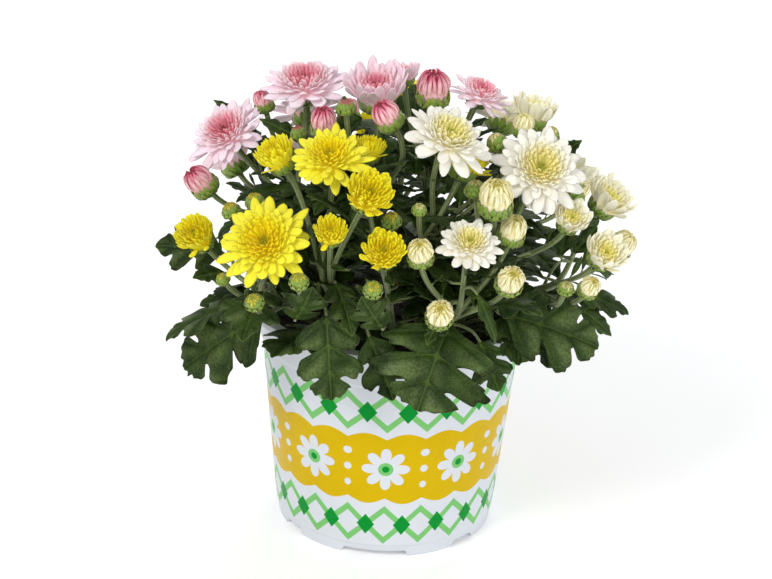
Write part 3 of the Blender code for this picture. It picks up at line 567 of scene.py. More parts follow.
def volume(points, faces):
    """The signed volume inside closed quads, which is negative where they face inwards."""
    a, b, c, d = (points[faces[:, k]] for k in range(4))
    first = np.einsum("ij,ij->i", a, np.cross(b, c))
    second = np.einsum("ij,ij->i", a, np.cross(c, d))
    return float((first + second).sum())


def tube_faces(rows, columns):
    """Quads of rings joined into a tube with both ends filled; columns is even."""
    start = np.arange(rows - 1)[:, None] * columns
    here = np.arange(columns)[None, :]
    following = (here + 1) % columns
    sides = np.stack([start + here, start + following, start + columns + following,
                      start + columns + here], axis=-1).reshape(-1, 4)
    k = np.arange(columns // 2 - 1)
    cap = np.stack([k, k + 1, columns - 2 - k, columns - 1 - k], axis=-1)
    return np.concatenate([sides, cap[:, ::-1], cap + (rows - 1) * columns])


def smooth_line(points, steps):
    """A rounder line through all the points, with some steps between each two."""
    points = np.asarray(points, float)
    line = np.concatenate([points[:1], points, points[-1:]])
    a, b, c, d = line[:-3, None], line[1:-2, None], line[2:-1, None], line[3:, None]
    t = (np.arange(steps) / steps)[None, :, None]
    curve = 0.5 * (2 * b + (c - a) * t + (2 * a - 5 * b + 4 * c - d) * t**2
                   + (3 * b - a - 3 * c + d) * t**3)
    return np.concatenate([curve.reshape(-1, line.shape[1]), points[-1:]])


def link(name, data):
    """A new object in the scene, made of some data."""
    thing = bpy.data.objects.new(name, data)
    bpy.context.scene.collection.objects.link(thing)
    return thing


def piece_from(name, surfaces, materials, slot, node):
    """One object of the gathered surfaces, in place of the CAD node named."""
    points = np.concatenate(surfaces.points) * MM
    faces = np.concatenate(surfaces.faces)
    mesh = bpy.data.meshes.new(name)
    mesh.vertices.add(len(points))
    mesh.vertices.foreach_set("co", points.ravel())
    mesh.loops.add(faces.size)
    mesh.loops.foreach_set("vertex_index", faces.ravel().astype(np.int32))
    mesh.polygons.add(len(faces))
    mesh.polygons.foreach_set("loop_start", np.arange(0, faces.size, 4, dtype=np.int32))
    mesh.polygons.foreach_set("material_index", np.concatenate(surfaces.slots).astype(np.int32))
    mesh.update(calc_edges=True)
    for value_name, parts in surfaces.values.items():
        attribute = mesh.attributes.new(value_name, "FLOAT", "POINT")
        attribute.data.foreach_set("value", np.concatenate(parts).astype(np.float32))
    for material in materials:
        mesh.materials.append(material)
    mesh.shade_smooth()
    thing = link(name, mesh)
    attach(thing, "root")
    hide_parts(node)
    return thing


# Petals

PETAL_ROW_CROWDING = 1.35
NOTCH_START = 0.75


def petal_width(s, base, widest):
    """A petal's half width along it, as a share of its widest."""
    rising = base + (1.0 - base) * np.sin(0.5 * math.pi * np.minimum(1.0, s / widest)) ** 1.3
    past = np.clip((s - widest) / (1.0 - widest), 0.0, 1.0)
    return rising * np.sqrt(np.maximum(0.015, 1.0 - past**2.1))


def add_petal(surfaces, head, turn, shape, slot, rows, columns):
    """A thin closed petal of a head, at a turn round its axis.

    The petal follows a curve in the plane of the axis and its way out. shape holds the curve's
    three points as (reach, height), the width, the half angles that it is rolled into a channel by
    at its base and tip, the thickness, the tip's notch, the sway and the twist.
    """
    axis, radius = head["axis"], head["radius"]
    one, other = across(axis)
    outward = math.cos(turn) * one + math.sin(turn) * other
    sideways = np.cross(axis, outward)
    # The centre line, and its directions turned by the twist
    s = 1.0 - (1.0 - np.linspace(0.0, 1.0, rows)) ** PETAL_ROW_CROWDING
    curve = (1 - s)[:, None] ** 2 * shape["root"] + (2 * s * (1 - s))[:, None] * shape["handle"]
    curve = (curve + s[:, None] ** 2 * shape["tip"]) * radius
    length = np.linalg.norm(shape["tip"] - shape["root"]) * radius
    sway = shape["sway"] * length * s**2
    centre = (head["base"] + curve[:, :1] * outward + curve[:, 1:] * axis
              + sway[:, None] * sideways)
    ahead = unit_rows(np.gradient(centre, axis=0))
    side = unit_rows(sideways - (ahead @ sideways)[:, None] * ahead)
    inner = np.cross(side, ahead)
    twist = shape["twist"] * s[:, None]
    side, inner = (side * np.cos(twist) + inner * np.sin(twist),
                   inner * np.cos(twist) - side * np.sin(twist))
    # A thin lens across it, rolled into a channel and cut in at the tip
    around = 2 * math.pi * np.arange(columns) / columns
    v, lift = np.cos(around)[None, :], np.sin(around)[None, :]
    half = (shape["width"] / 2 * petal_width(s, shape["neck"], shape["widest"]))[:, None]
    roll_base, roll_tip = shape["roll"]
    roll = (roll_base + (roll_tip - roll_base) * s)[:, None]
    bow = half / roll
    angle = v * roll
    thick = shape["thickness"] / 2 * np.minimum(1.0, half / shape["thickness"])
    off = lift * thick * (1.0 - 0.5 * v**2)
    sidewise = bow * np.sin(angle) - np.sin(angle) * off
    inwise = bow * (1.0 - np.cos(angle)) + np.cos(angle) * off
    near_tip = np.clip((s[:, None] - NOTCH_START) / (1.0 - NOTCH_START), 0, 1)
    trim = shape["notch"] * half * (1.0 - np.abs(v)) * near_tip
    points = (centre[:, None, :] + side[:, None, :] * sidewise[..., None]
              + inner[:, None, :] * inwise[..., None] - ahead[:, None, :] * trim[..., None])
    surfaces.add(points.reshape(-1, 3), tube_faces(rows, columns), slot,
                 along=np.repeat(s, columns), across=np.tile(v[0], rows),
                 age=shape["age"], tone=shape["tone"])


# The petals of each form, from the outermost, at age 0, to the middle, at age 1. Each row has the
# age, the reach and height of the tip, of the root and of the curve's handle, the width, and the
# roll at base and tip. Rolls are half angles in radians, and the rest are shares of the radius.
HABITS = {
    "bloom": (
        (0, 1.1, 0, 0.2, -0.02, 0.52, 0.14, 0.31, 0.6, 0.3),
        (0.08, 1.08, 0.12, 0.2, 0.02, 0.55, 0.2, 0.3, 0.7, 0.35),
        (0.15, 0.94, 0.26, 0.19, 0.05, 0.5, 0.26, 0.27, 0.9, 0.45),
        (0.22, 0.74, 0.36, 0.18, 0.08, 0.46, 0.3, 0.24, 1.1, 0.6),
        (0.34, 0.58, 0.43, 0.16, 0.1, 0.45, 0.31, 0.2, 1.5, 0.9),
        (0.52, 0.48, 0.5, 0.13, 0.12, 0.42, 0.36, 0.175, 1.9, 1.1),
        (0.76, 0.32, 0.53, 0.08, 0.16, 0.3, 0.42, 0.145, 2.1, 1.3),
        (0.93, 0.16, 0.48, 0.05, 0.2, 0.16, 0.41, 0.12, 2.2, 1.4),
        (0.94, 0.12, 0.42, 0.1, 0.2, 0.11, 0.34, 0.075, 2.6, 2.4),
        (1, 0.01, 0.4, 0.01, 0.2, 0.01, 0.34, 0.065, 2.6, 2.4),
    ),
    "half": (
        (0, 1, 0.84, 0.26, 0.02, 0.82, 0.3, 0.42, 0.8, 0.5),
        (0.12, 0.96, 1.02, 0.26, 0.05, 0.78, 0.44, 0.36, 1, 0.6),
        (0.25, 0.84, 1.14, 0.24, 0.1, 0.7, 0.6, 0.29, 1.3, 0.8),
        (0.45, 0.68, 1.22, 0.2, 0.16, 0.58, 0.76, 0.23, 1.7, 1),
        (0.7, 0.46, 1.22, 0.14, 0.24, 0.42, 0.88, 0.185, 2, 1.2),
        (0.9, 0.24, 1.12, 0.1, 0.3, 0.22, 0.9, 0.15, 2.2, 1.3),
        (0.91, 0.17, 1.02, 0.15, 0.62, 0.16, 0.84, 0.09, 2.6, 2.4),
        (1, 0.01, 0.96, 0.01, 0.64, 0.01, 0.82, 0.08, 2.6, 2.4),
    ),
    "flared": (
        (0, 1.12, 0.92, 0.26, 0.02, 0.8, 0.2, 0.52, 0.8, 0.45),
        (0.15, 1.06, 1.12, 0.26, 0.05, 0.74, 0.34, 0.46, 1, 0.5),
        (0.3, 0.82, 0.98, 0.22, 0.1, 0.62, 0.44, 0.36, 1.2, 0.6),
        (0.5, 0.6, 0.88, 0.18, 0.16, 0.5, 0.5, 0.28, 1.5, 0.8),
        (0.72, 0.4, 0.84, 0.12, 0.22, 0.34, 0.56, 0.22, 1.8, 1),
        (0.9, 0.2, 0.8, 0.08, 0.26, 0.18, 0.56, 0.17, 2, 1.1),
        (0.91, 0.15, 0.74, 0.14, 0.5, 0.15, 0.56, 0.11, 2.6, 2.4),
        (1, 0.01, 0.7, 0.01, 0.5, 0.01, 0.56, 0.1, 2.6, 2.4),
    ),
    "bud": (
        (0, 0.62, 1.44, 0.52, 0, 1.3, 0.6, 0.33, 0.8, 1),
        (0.38, 0.46, 1.6, 0.46, 0.1, 1.12, 0.86, 0.3, 1, 1.2),
        (0.7, 0.28, 1.58, 0.3, 0.3, 0.66, 1.15, 0.22, 1.4, 1.4),
        (1, 0.08, 1.4, 0.1, 0.5, 0.16, 1.1, 0.16, 1.8, 1.6),
    ),
    "green": (
        (0, 0.46, 1.34, 0.5, 0.1, 1.26, 0.72, 0.36, 1, 1.1),
        (0.5, 0.28, 1.52, 0.36, 0.3, 0.92, 0.98, 0.32, 1.1, 1.2),
        (1, 0.06, 1.54, 0.12, 0.6, 0.2, 1.2, 0.22, 1.4, 1.5),
    ),
}

# Petals in a head of each form, at the radius that the number is given for, and the rows and
# columns of each
PETAL_COUNTS = {"bloom": (142, 21.0), "half": (118, 10.5), "flared": (74, 10.5),
                "bud": (52, 7.0), "green": (26, 4.0)}
PETAL_ROWS = {"bloom": (10, 8), "half": (8, 8), "flared": (8, 8), "bud": (8, 6), "green": (6, 6)}
YOUNG_ROWS = (6, 6)
YOUNG_AGE = 0.25
PETAL_THICKNESS = 0.42
PETAL_BREADTH = {"pink": 1.0, "yellow": 0.92, "white": 1.08}
# How far a stray outer petal splays out from each form, as a share of the head's radius
STRAY = {"bloom": 0.0, "half": 0.42, "flared": 0.22, "bud": 0.0, "green": 0.0}

# The cup of small green bracts under each form: how many, and the curve's reach and height at the
# root, handle and tip
BRACTS = {
    "bloom": ((14, (0.07, -0.24), (0.32, -0.22), (0.44, 0.04)),
              (10, (0.07, -0.25), (0.22, -0.26), (0.32, -0.10))),
    "half": ((15, (0.12, -0.36), (0.62, -0.30), (0.66, 0.24)),
             (11, (0.12, -0.37), (0.54, -0.36), (0.62, 0.00))),
    "bud": ((16, (0.16, -0.54), (1.08, -0.42), (0.92, 0.44)),
            (13, (0.16, -0.55), (1.00, -0.54), (0.96, 0.14)),
            (9, (0.16, -0.56), (0.70, -0.62), (0.86, -0.16))),
    "green": ((13, (0.24, 0.00), (1.26, 0.20), (0.66, 1.26)),
              (11, (0.24, -0.02), (1.22, -0.04), (1.00, 0.78)),
              (8, (0.24, -0.04), (0.90, -0.20), (1.02, 0.28))),
}

# The solid middle that each form's petals or bracts grow round, as (reach, height)
CORES = {
    "bloom": ((0.08, -0.24), (0.19, -0.12), (0.24, 0.04), (0.20, 0.16), (0.10, 0.24)),
    "half": ((0.12, -0.36), (0.44, -0.22), (0.56, 0.08), (0.50, 0.36), (0.34, 0.56), (0.12, 0.62)),
    "bud": ((0.16, -0.55), (0.66, -0.40), (0.84, 0.10), (0.84, 0.75), (0.60, 1.20), (0.20, 1.42)),
    "green": ((0.24, 0.0), (0.80, 0.30), (0.92, 0.80), (0.66, 1.22), (0.22, 1.42)),
}
CORE_SIDES = 14


def petal_shape(form, age, head, draw):
    """The shape of the petal of one age, a little different from its neighbours."""
    ages, *columns = zip(*HABITS[form])
    (tip_reach, tip_height, root_reach, root_height, handle_reach, handle_height, width, roll_base,
     roll_tip) = (float(np.interp(age, ages, column)) for column in columns)
    flat = max(0.0, 1.0 - 4.0 * age)
    stray = STRAY[form] * flat * draw.random() ** 5
    reach = tip_reach * draw.uniform(0.94 - 0.16 * flat, 1.04) + stray
    height = tip_height + draw.uniform(-0.03, 0.04) + flat * draw.uniform(-0.17, 0.20)
    height -= 1.4 * stray
    return {
        "root": np.array((root_reach, root_height)),
        "handle": np.array((handle_reach * draw.uniform(0.94, 1.06),
                            handle_height + draw.uniform(-0.04, 0.06))),
        "tip": np.array((reach, height)),
        "width": width * head["radius"] * draw.uniform(0.84, 1.18) * PETAL_BREADTH[head["colour"]],
        "neck": 0.34 + 0.25 * age,
        "widest": draw.uniform(0.60, 0.74),
        "roll": (roll_base, roll_tip * draw.uniform(0.7, 1.3)),
        "thickness": PETAL_THICKNESS,
        "notch": draw.uniform(0.0, 0.55) * flat,
        "sway": draw.uniform(-0.13, 0.13),
        "twist": draw.uniform(-0.42, 0.42) * flat,
        "age": age,
        "tone": draw.random(),
    }


def add_petals(surfaces, head, slot, draw):
    """All the petals of a head, each a golden angle on from the last and a little younger."""
    form = head["form"]
    if form == "half" and head["colour"] != "yellow":
        form = "flared"
    number, usual = PETAL_COUNTS[form]
    number = int(number * (head["radius"] / usual) ** 0.5)
    start = draw.uniform(0, 360)
    for k in range(number):
        age = (k + 0.5) / number
        turn = math.radians(start + GOLDEN_ANGLE * k + draw.uniform(-5, 5))
        young = form in ("bloom", "half", "flared") and age > YOUNG_AGE
        add_petal(surfaces, head, turn, petal_shape(form, age, head, draw), slot,
                  *(YOUNG_ROWS if young else PETAL_ROWS[form]))


def add_bracts(surfaces, head, slot, draw):
    """The rows of small overlapping bracts that make the green cup under a head."""
    for row, (number, root, handle, tip) in enumerate(BRACTS[head["form"]]):
        start = draw.uniform(0, 360)
        for k in range(number):
            turn = math.radians(start + 360.0 * k / number + draw.uniform(-5, 5))
            shape = {
                "root": np.array(root), "handle": np.array(handle) * (1.0 + 0.015 * row, 1.0),
                "tip": np.array(tip) + (draw.uniform(-0.03, 0.02), draw.uniform(-0.08, 0.06)),
                "width": 7.4 / number * head["radius"] * abs(handle[0] + 0.1) * 0.95,
                "neck": 0.5, "widest": 0.5, "roll": (0.5, 0.7), "thickness": 0.5,
                "notch": 0.0, "sway": draw.uniform(-0.06, 0.06),
                "twist": draw.uniform(-0.1, 0.1), "age": row / 3.0, "tone": draw.random(),
            }
            add_petal(surfaces, head, turn, shape, slot, *YOUNG_ROWS)


def add_core(surfaces, head, slot):
    """The solid middle of a head, hidden between its petals or bracts."""
    axis, radius = head["axis"], head["radius"]
    profile = smooth_line(CORES[head["form"]], 3)
    ring = circle(*across(axis), CORE_SIDES)
    points = (head["base"] + profile[:, None, 1:] * radius * axis
              + profile[:, None, :1] * radius * ring[None])
    age = 0.1 + 0.9 * np.linspace(0.0, 1.0, len(profile)) ** 3
    surfaces.add(points.reshape(-1, 3), tube_faces(len(profile), CORE_SIDES), slot,
                 along=0.6, age=np.repeat(age, CORE_SIDES), tone=0.3)


# Stems and leaves

# Half of each leaf's outline, from its stalk to its tip: share of the half width and of the length
LOBES = {
    "large": ((0.05, 0.0), (0.12, 0.05), (0.26, 0.11), (0.46, 0.15), (0.64, 0.17), (0.76, 0.20),
              (0.82, 0.245), (0.92, 0.27), (0.97, 0.33), (0.92, 0.385), (0.83, 0.39),
              (0.76, 0.43), (0.60, 0.42), (0.46, 0.42), (0.38, 0.445), (0.42, 0.475),
              (0.58, 0.495), (0.76, 0.515), (0.89, 0.55), (0.94, 0.60), (1.03, 0.64),
              (1.00, 0.70), (0.90, 0.71), (0.82, 0.76), (0.68, 0.755), (0.52, 0.73),
              (0.38, 0.725), (0.33, 0.75), (0.42, 0.78), (0.56, 0.80),
              (0.61, 0.85), (0.53, 0.875), (0.46, 0.92), (0.35, 0.925), (0.26, 0.965),
              (0.15, 0.965), (0.05, 1.0), (0.0, 1.0)),
    "medium": ((0.06, 0.0), (0.16, 0.06), (0.38, 0.13), (0.60, 0.18), (0.74, 0.23), (0.86, 0.29),
               (0.84, 0.36), (0.68, 0.385), (0.50, 0.38), (0.42, 0.41), (0.52, 0.455),
               (0.78, 0.50), (0.92, 0.55), (1.02, 0.62), (0.98, 0.70), (0.86, 0.71), (0.74, 0.76),
               (0.54, 0.735), (0.38, 0.725), (0.43, 0.77), (0.52, 0.82), (0.42, 0.87),
               (0.32, 0.90), (0.20, 0.955), (0.06, 0.995), (0.0, 1.0)),
    "small": ((0.08, 0.0), (0.24, 0.10), (0.56, 0.22), (0.82, 0.32), (0.96, 0.40), (0.86, 0.47),
              (0.66, 0.50), (0.56, 0.55), (0.66, 0.62), (0.62, 0.70), (0.46, 0.76), (0.40, 0.84),
              (0.22, 0.90), (0.08, 0.985), (0.0, 1.0)),
    "narrow": ((0.10, 0.0), (0.36, 0.10), (0.74, 0.28), (0.98, 0.48), (0.92, 0.66), (0.60, 0.84),
               (0.26, 0.95), (0.0, 1.0)),
}
LOBES["inner"] = LOBES["medium"]
# Where each outline's side veins leave the rib, and where they end
VEINS = {
    "large": (((0.0, 0.10), (0.92, 0.33)), ((0.0, 0.36), (0.98, 0.66)), ((0.0, 0.66), (0.52, 0.87)),
              ((0.20, 0.15), (0.70, 0.22)), ((0.24, 0.425), (0.80, 0.50))),
    "medium": (((0.0, 0.12), (0.82, 0.33)), ((0.0, 0.38), (0.98, 0.66)),
               ((0.0, 0.68), (0.44, 0.87))),
    "small": (((0.0, 0.14), (0.92, 0.40)), ((0.0, 0.42), (0.62, 0.68))),
    "narrow": (((0.0, 0.2), (0.8, 0.5)),),
}
VEINS["inner"] = VEINS["medium"]
VEIN_SLANT = 0.26
LEAF_COLUMNS = {"large": 6, "medium": 5, "small": 4, "narrow": 2, "inner": 3}
LEAF_STEPS = {"large": 3, "medium": 2, "small": 2, "narrow": 1, "inner": 1}
LEAF_THICKNESS = 0.34
# How uneven a blade's edge is, in breadth and in length, as shares of them
EDGE_DRIFT = (0.035, 0.012)
# The blade's relief: how wide a leaf has all of it, its waves, and its veins above and below
FULL_RELIEF_WIDTH = 24.0
WAVE_LENGTH, WAVE_HEIGHT = 3.4, 0.75
VEIN_DEPTH, RIB_DEPTH, RIB_BREADTH = 0.55, 0.55, 0.8
STALK_SHARES = {"large": 1.0, "medium": 0.85, "small": 0.7, "narrow": 0.45, "inner": 0.7}


def to_segment(points, start, end):
    """Each point's distance to the line between two others."""
    start, end = np.asarray(start, float), np.asarray(end, float)
    line = end - start
    share = np.clip(((points - start) @ line) / (line @ line), 0.0, 1.0)
    return np.linalg.norm(points - start - share[..., None] * line, axis=-1)


def vein_distance(flat, leaf):
    """How far each point of the flat blade is from the nearest vein, in millimetres."""
    scale = np.array((leaf["width"] / 2, leaf["length"]))
    mirrored = np.stack([np.abs(flat[..., 0]), flat[..., 1]], axis=-1) * scale
    nearest = mirrored[..., 0].copy()
    for start, end in VEINS[leaf["kind"]]:
        nearest = np.minimum(nearest, to_segment(mirrored, start * scale, end * scale) + 0.18)
    return nearest


def add_blade(surfaces, leaf, slot, draw):
    """One leaf blade: rows from the rib to its lobed and toothed edge, over and under."""
    kind = leaf["kind"]
    count = LEAF_COLUMNS[kind]
    # Each side's edge, a little uneven, and the points of the rib that its rows start from
    edges = []
    for _ in range(2):
        outline = np.array(LOBES[kind])
        outline[1:-2] += [[draw.uniform(-drift, drift) for drift in EDGE_DRIFT]
                          for _ in outline[1:-2]]
        edges.append(np.maximum(smooth_line(outline, LEAF_STEPS[kind]), (0.012, 0.0)))
    rows = len(edges[0])
    ribs = [np.maximum.accumulate(np.clip(e[:, 1] - VEIN_SLANT * e[:, 0], 0.0, 1.0)) for e in edges]
    middle = (ribs[0] + ribs[1]) / 2
    # Rows from edge to edge over the blade, and back under it
    share = np.linspace(0.0, 1.0, count + 1)
    sides = []
    for edge, sign in zip(edges, (-1.0, 1.0)):
        x = sign * edge[:, :1] * share
        y = middle[:, None] + (edge[:, 1:] - middle[:, None]) * share
        sides.append(np.stack([x, y], axis=-1))
    flat = np.concatenate([sides[0][:, :0:-1], sides[1]], axis=1)
    inward = np.concatenate([share[:0:-1], share])
    under = flat[:, -2:0:-1]
    ring = np.concatenate([flat, under], axis=1)
    depth = np.concatenate([inward, inward[-2:0:-1]])
    below = np.concatenate([np.zeros(flat.shape[1]), np.ones(under.shape[1])])
    points, vein = blade_points(leaf, ring, depth, below, draw)
    # How far each point is from the edge, in millimetres, for the pale margin
    from_rib = (ring - middle[:, None, None] * (0.0, 1.0)) * (leaf["width"] / 2, leaf["length"])
    reach = np.linalg.norm(from_rib, axis=-1) / np.maximum(depth, 0.01)
    edge_gap = np.where(depth > 0.0, (1.0 - depth) * reach, leaf["width"] / 2)
    surfaces.add(points.reshape(-1, 3), tube_faces(rows, ring.shape[1]), slot,
                 along=(ring[..., 1] * leaf["length"]).ravel(),
                 across=(ring[..., 0] * leaf["width"] / 2).ravel(),
                 age=0.5, tone=draw.random(), vein=vein.ravel(),
                 edge=edge_gap.ravel(), under=np.tile(below, rows))


def blade_points(leaf, ring, depth, below, draw):
    """The flat ring of a blade bent along its rib, quilted between its veins and waved."""
    u = np.clip(ring[..., 1], 0.0, 1.0)
    v = ring[..., 0]
    base, handle, tip = leaf["rib"]
    w = u[..., None]
    centre = (1 - w) ** 2 * base + 2 * w * (1 - w) * handle + w * w * tip
    along = unit_rows((1 - w) * (handle - base) + w * (tip - handle))
    side = unit_rows(np.cross(along, leaf["face"]))
    face = np.cross(side, along)
    half = leaf["width"] / 2
    vein = vein_distance(ring, leaf)
    size = min(1.0, leaf["width"] / FULL_RELIEF_WIDTH)
    phase, pitch = draw.uniform(0, 6.28), draw.uniform(0.9, 1.3)
    wave = np.sin(u * leaf["length"] / (WAVE_LENGTH * pitch) + phase + 2.0 * np.sign(v))
    wave *= np.abs(v) ** 1.5
    droop = draw.uniform(-0.05, 0.02) * half * np.abs(v) ** 2
    lift = half * (FOLD_LIFT * np.abs(v) - FOLD_DROOP * v * v) + droop + WAVE_HEIGHT * size * wave
    lift = lift - VEIN_DEPTH * size * np.exp(-(vein**2)) * (1.0 - np.abs(v) ** 3)
    body = LEAF_THICKNESS / 2 * (1.0 - depth**4)
    ribbed = RIB_DEPTH * size * np.exp(-((vein / RIB_BREADTH) ** 2)) * (1.0 - u) * (1.0 - depth)
    lift = lift + np.where(below > 0.5, -body - ribbed, body)
    return centre + side * (v * half)[..., None] + face * lift[..., None], vein


def add_rod(surfaces, route, radii, slot, tone, sides=10, ridge=0.07):
    """A ridged stem along a route, closed at both ends."""
    steps = np.linalg.norm(np.diff(route, axis=0), axis=1)
    gone = np.concatenate([[0.0], np.cumsum(steps)])
    side = across(unit(route[1] - route[0]))[0]
    swell = 1.0 + ridge * np.where(np.arange(sides) % 2 == 0, 1.0, -1.0)
    rings = []
    for number, centre in enumerate(route):
        direction = unit(route[min(number + 1, len(route) - 1)] - route[max(number - 1, 0)])
        side = unit(side - direction * (side @ direction))
        ring = circle(side, np.cross(direction, side), sides)
        rings.append(centre + ring * (radii[number] * swell)[:, None])
    surfaces.add(np.concatenate(rings), tube_faces(len(route), sides), slot,
                 along=np.repeat(gone, sides), across=np.tile(swell - 1.0, len(route)) / ridge,
                 tone=tone)


def add_stalk(surfaces, route, head, slot, draw):
    """A side stalk from the main stem to its head's cup, a little thicker at both ends."""
    line = smooth_line(route, 2)
    s = np.linspace(0.0, 1.0, len(line))
    cup = 0.35 * head["radius"] / 10.0
    radii = STALK_RADIUS * (1.0 + 0.25 * (1 - s) ** 3) + cup * s**8
    add_rod(surfaces, line, radii, slot, draw.random())


def add_leaf(surfaces, leaf, stem_slot, leaf_slot, draw):
    """A leaf with its stalk, which runs a little way into the rib."""
    first = leaf["petiole"]
    rib = leaf_frame(leaf, 0.04)[0]
    line = smooth_line(np.concatenate([first[:-1], [leaf["rib"][0]], [rib]]), 2)
    thin = STALK_SHARES[leaf["kind"]]
    radii = thin * np.linspace(1.05, 0.72, len(line))
    add_rod(surfaces, line, radii, stem_slot, draw.random(), sides=8, ridge=0.05)
    add_blade(surfaces, leaf, leaf_slot, draw)


def leaflets(stems, heads, draw):
    """Small narrow leaves along the stalks, which only the looks have."""
    found = {name: [] for name in stems}
    for name, stem in stems.items():
        for route, _ in stem["stalks"]:
            for index in LEAFLET_NODES:
                start = route[index]
                turn = draw.uniform(0, 2 * math.pi)
                along = unit(route[index + 1] - start)
                side, other = across(along)
                way = unit(along * draw.uniform(0.5, 1.1) + math.cos(turn) * side
                           + math.sin(turn) * other)
                length = draw.uniform(*LEAFLET_LENGTH)
                face = unit(along - way * (along @ way))
                base = start + way * LEAFLET_STALK
                leaf = make_leaf(name, "small", start, base, base + way * length,
                                 length * draw.uniform(0.26, 0.40), face, LEAFLET_ARCH)
                leaf["kind"] = "narrow"
                grid = leaf_grid(leaf)[2:]
                if clear_of_heads(grid, heads, LEAFLET_MARGIN) and within_reach(grid):
                    found[name].append(leaf)
    return found


def inner_leaves(stems, heads, draw):
    """Leaves that fill the dark inside of the plant, which only the looks have."""
    found = {name: [] for name in stems}
    for name, stem in stems.items():
        routes = [stem["main"]] + [route[:LEAFY_POINTS] for route, _ in stem["stalks"]]
        for _ in range(INNER_TRIES):
            route = draw.choice(routes)
            start = route[draw.randrange(3, len(route))]
            turn = draw.uniform(0, 2 * math.pi)
            way = np.array((math.cos(turn), math.sin(turn), 0.0))
            along = unit(way + (0.0, 0.0, draw.uniform(-0.3, 1.0)))
            length = draw.uniform(*INNER_LENGTH)
            base = start + way * draw.uniform(*INNER_STALK)
            face = unit(np.array((0.0, 0.0, 1.0)) - along * along[2] + 0.3 * way)
            leaf = make_leaf(name, "medium", start, base, base + along * length,
                             length * draw.uniform(0.5, 0.7), face, RULED_ARCH)
            leaf["kind"] = "inner"
            grid = leaf_grid(leaf)[2:]
            inside = np.hypot(grid[:, 0], grid[:, 1]).max() < INNER_REACH
            if inside and clear_of_heads(grid, heads, INNER_MARGIN) and clear_of_pot(grid):
                found[name].append(leaf)
    return found


def dress_stem(name, stem, leaves, materials, draw):
    """One leafy stem in fine surfaces: stems, leaves, cups and tight green buds."""
    surfaces = Surfaces()
    bark, blade, bract, petal = range(4)
    main = stem["main"]
    foot = main[0] - (0.0, 0.0, MAIN_SUNK)
    line = smooth_line(np.concatenate([foot[None, :], main]), 3)
    radii = np.linspace(MAIN_RADIUS, MAIN_TOP_RADIUS, len(line))
    add_rod(surfaces, line, radii, bark, draw.random(), sides=12)
    for route, head in stem["stalks"]:
        add_stalk(surfaces, route, head, bark, draw)
        add_bracts(surfaces, head, bract, draw)
        if head["form"] == "green":
            add_core(surfaces, head, bract)
            add_petals(surfaces, head, petal, draw)
    for leaf in leaves:
        add_leaf(surfaces, leaf, bark, blade, draw)
    looks = [materials[look] for look in ("stem", "leaf", "bract", STEMS[name][0] + "_green")]
    piece_from("leafy_" + name, surfaces, looks, "foliage", "stem_" + name)


def dress_head(head, node, look, draw):
    """One flower head in fine surfaces: its core and its petals."""
    surfaces = Surfaces()
    add_core(surfaces, head, 0)
    add_petals(surfaces, head, 0, draw)
    piece_from("petals_of_" + node, surfaces, (look,), head["colour"] + "_petals", node)


# Pot and soil

LATHE_SIDES = 240
DRAIN_SIDES = 32
POT_EDGE = 0.55
NOTCH_EDGE = 1.6
# How far the ends of a section stay off its axis, so that the caps are small discs
AXIS_HOLE = 0.3


def turned_surface(profile, sides):
    """Points and quads of a closed solid of revolution, from its middle below to that above."""
    ring = circle((0.0, -1.0, 0.0), (1.0, 0.0, 0.0), sides)
    profile = np.asarray(profile, float)
    points = profile[:, None, :1] * ring + profile[:, None, 1:] * (0.0, 0.0, 1.0)
    return points.reshape(-1, 3), tube_faces(len(profile), sides)


def rounded(profile, radius, steps=3):
    """A section with each of its corners rounded off to a small radius."""
    profile = np.asarray(profile, float)
    line = [profile[0]]
    for before, corner, after in zip(profile, profile[1:], profile[2:]):
        reach = min(radius, 0.45 * np.linalg.norm(before - corner),
                    0.45 * np.linalg.norm(after - corner))
        for t in np.linspace(0.0, 1.0, steps + 1):
            line.append(corner + unit(before - corner) * reach * (1 - t) ** 2
                        + unit(after - corner) * reach * t**2)
    line.append(profile[-1])
    return np.array(line)


def wall_radius(height):
    """The radius of the pot's plain outer wall at a height."""
    return POT_WALL_LOW + (POT_WALL_HIGH - POT_WALL_LOW) * height / POT_HEIGHT


def inner_radius(height):
    """The radius of the pot's inside at a height."""
    floor = wall_radius(FOOT_HEIGHT) - LEDGE - WALL
    share = (height - FOOT_HEIGHT - WALL) / (POT_HEIGHT - FOOT_HEIGHT - WALL)
    return floor + (wall_radius(POT_HEIGHT) - WALL / 2 - floor) * share


def notch_lift(turn):
    """How far the foot's edge is lifted at an angle, in degrees from the front."""
    lift = np.zeros_like(turn)
    for number in range(NOTCHES):
        centre = NOTCH_TURN + 360.0 * number / NOTCHES
        away = np.abs((turn - centre + 180.0) % 360.0 - 180.0)
        half = WIDE_NOTCH if number == 0 else NARROW_NOTCH
        share = np.clip((half + NOTCH_RAMP - away) / NOTCH_EDGE, 0.0, 1.0)
        lift = np.maximum(lift, NOTCH_HEIGHT * share * share * (3 - 2 * share))
    return lift


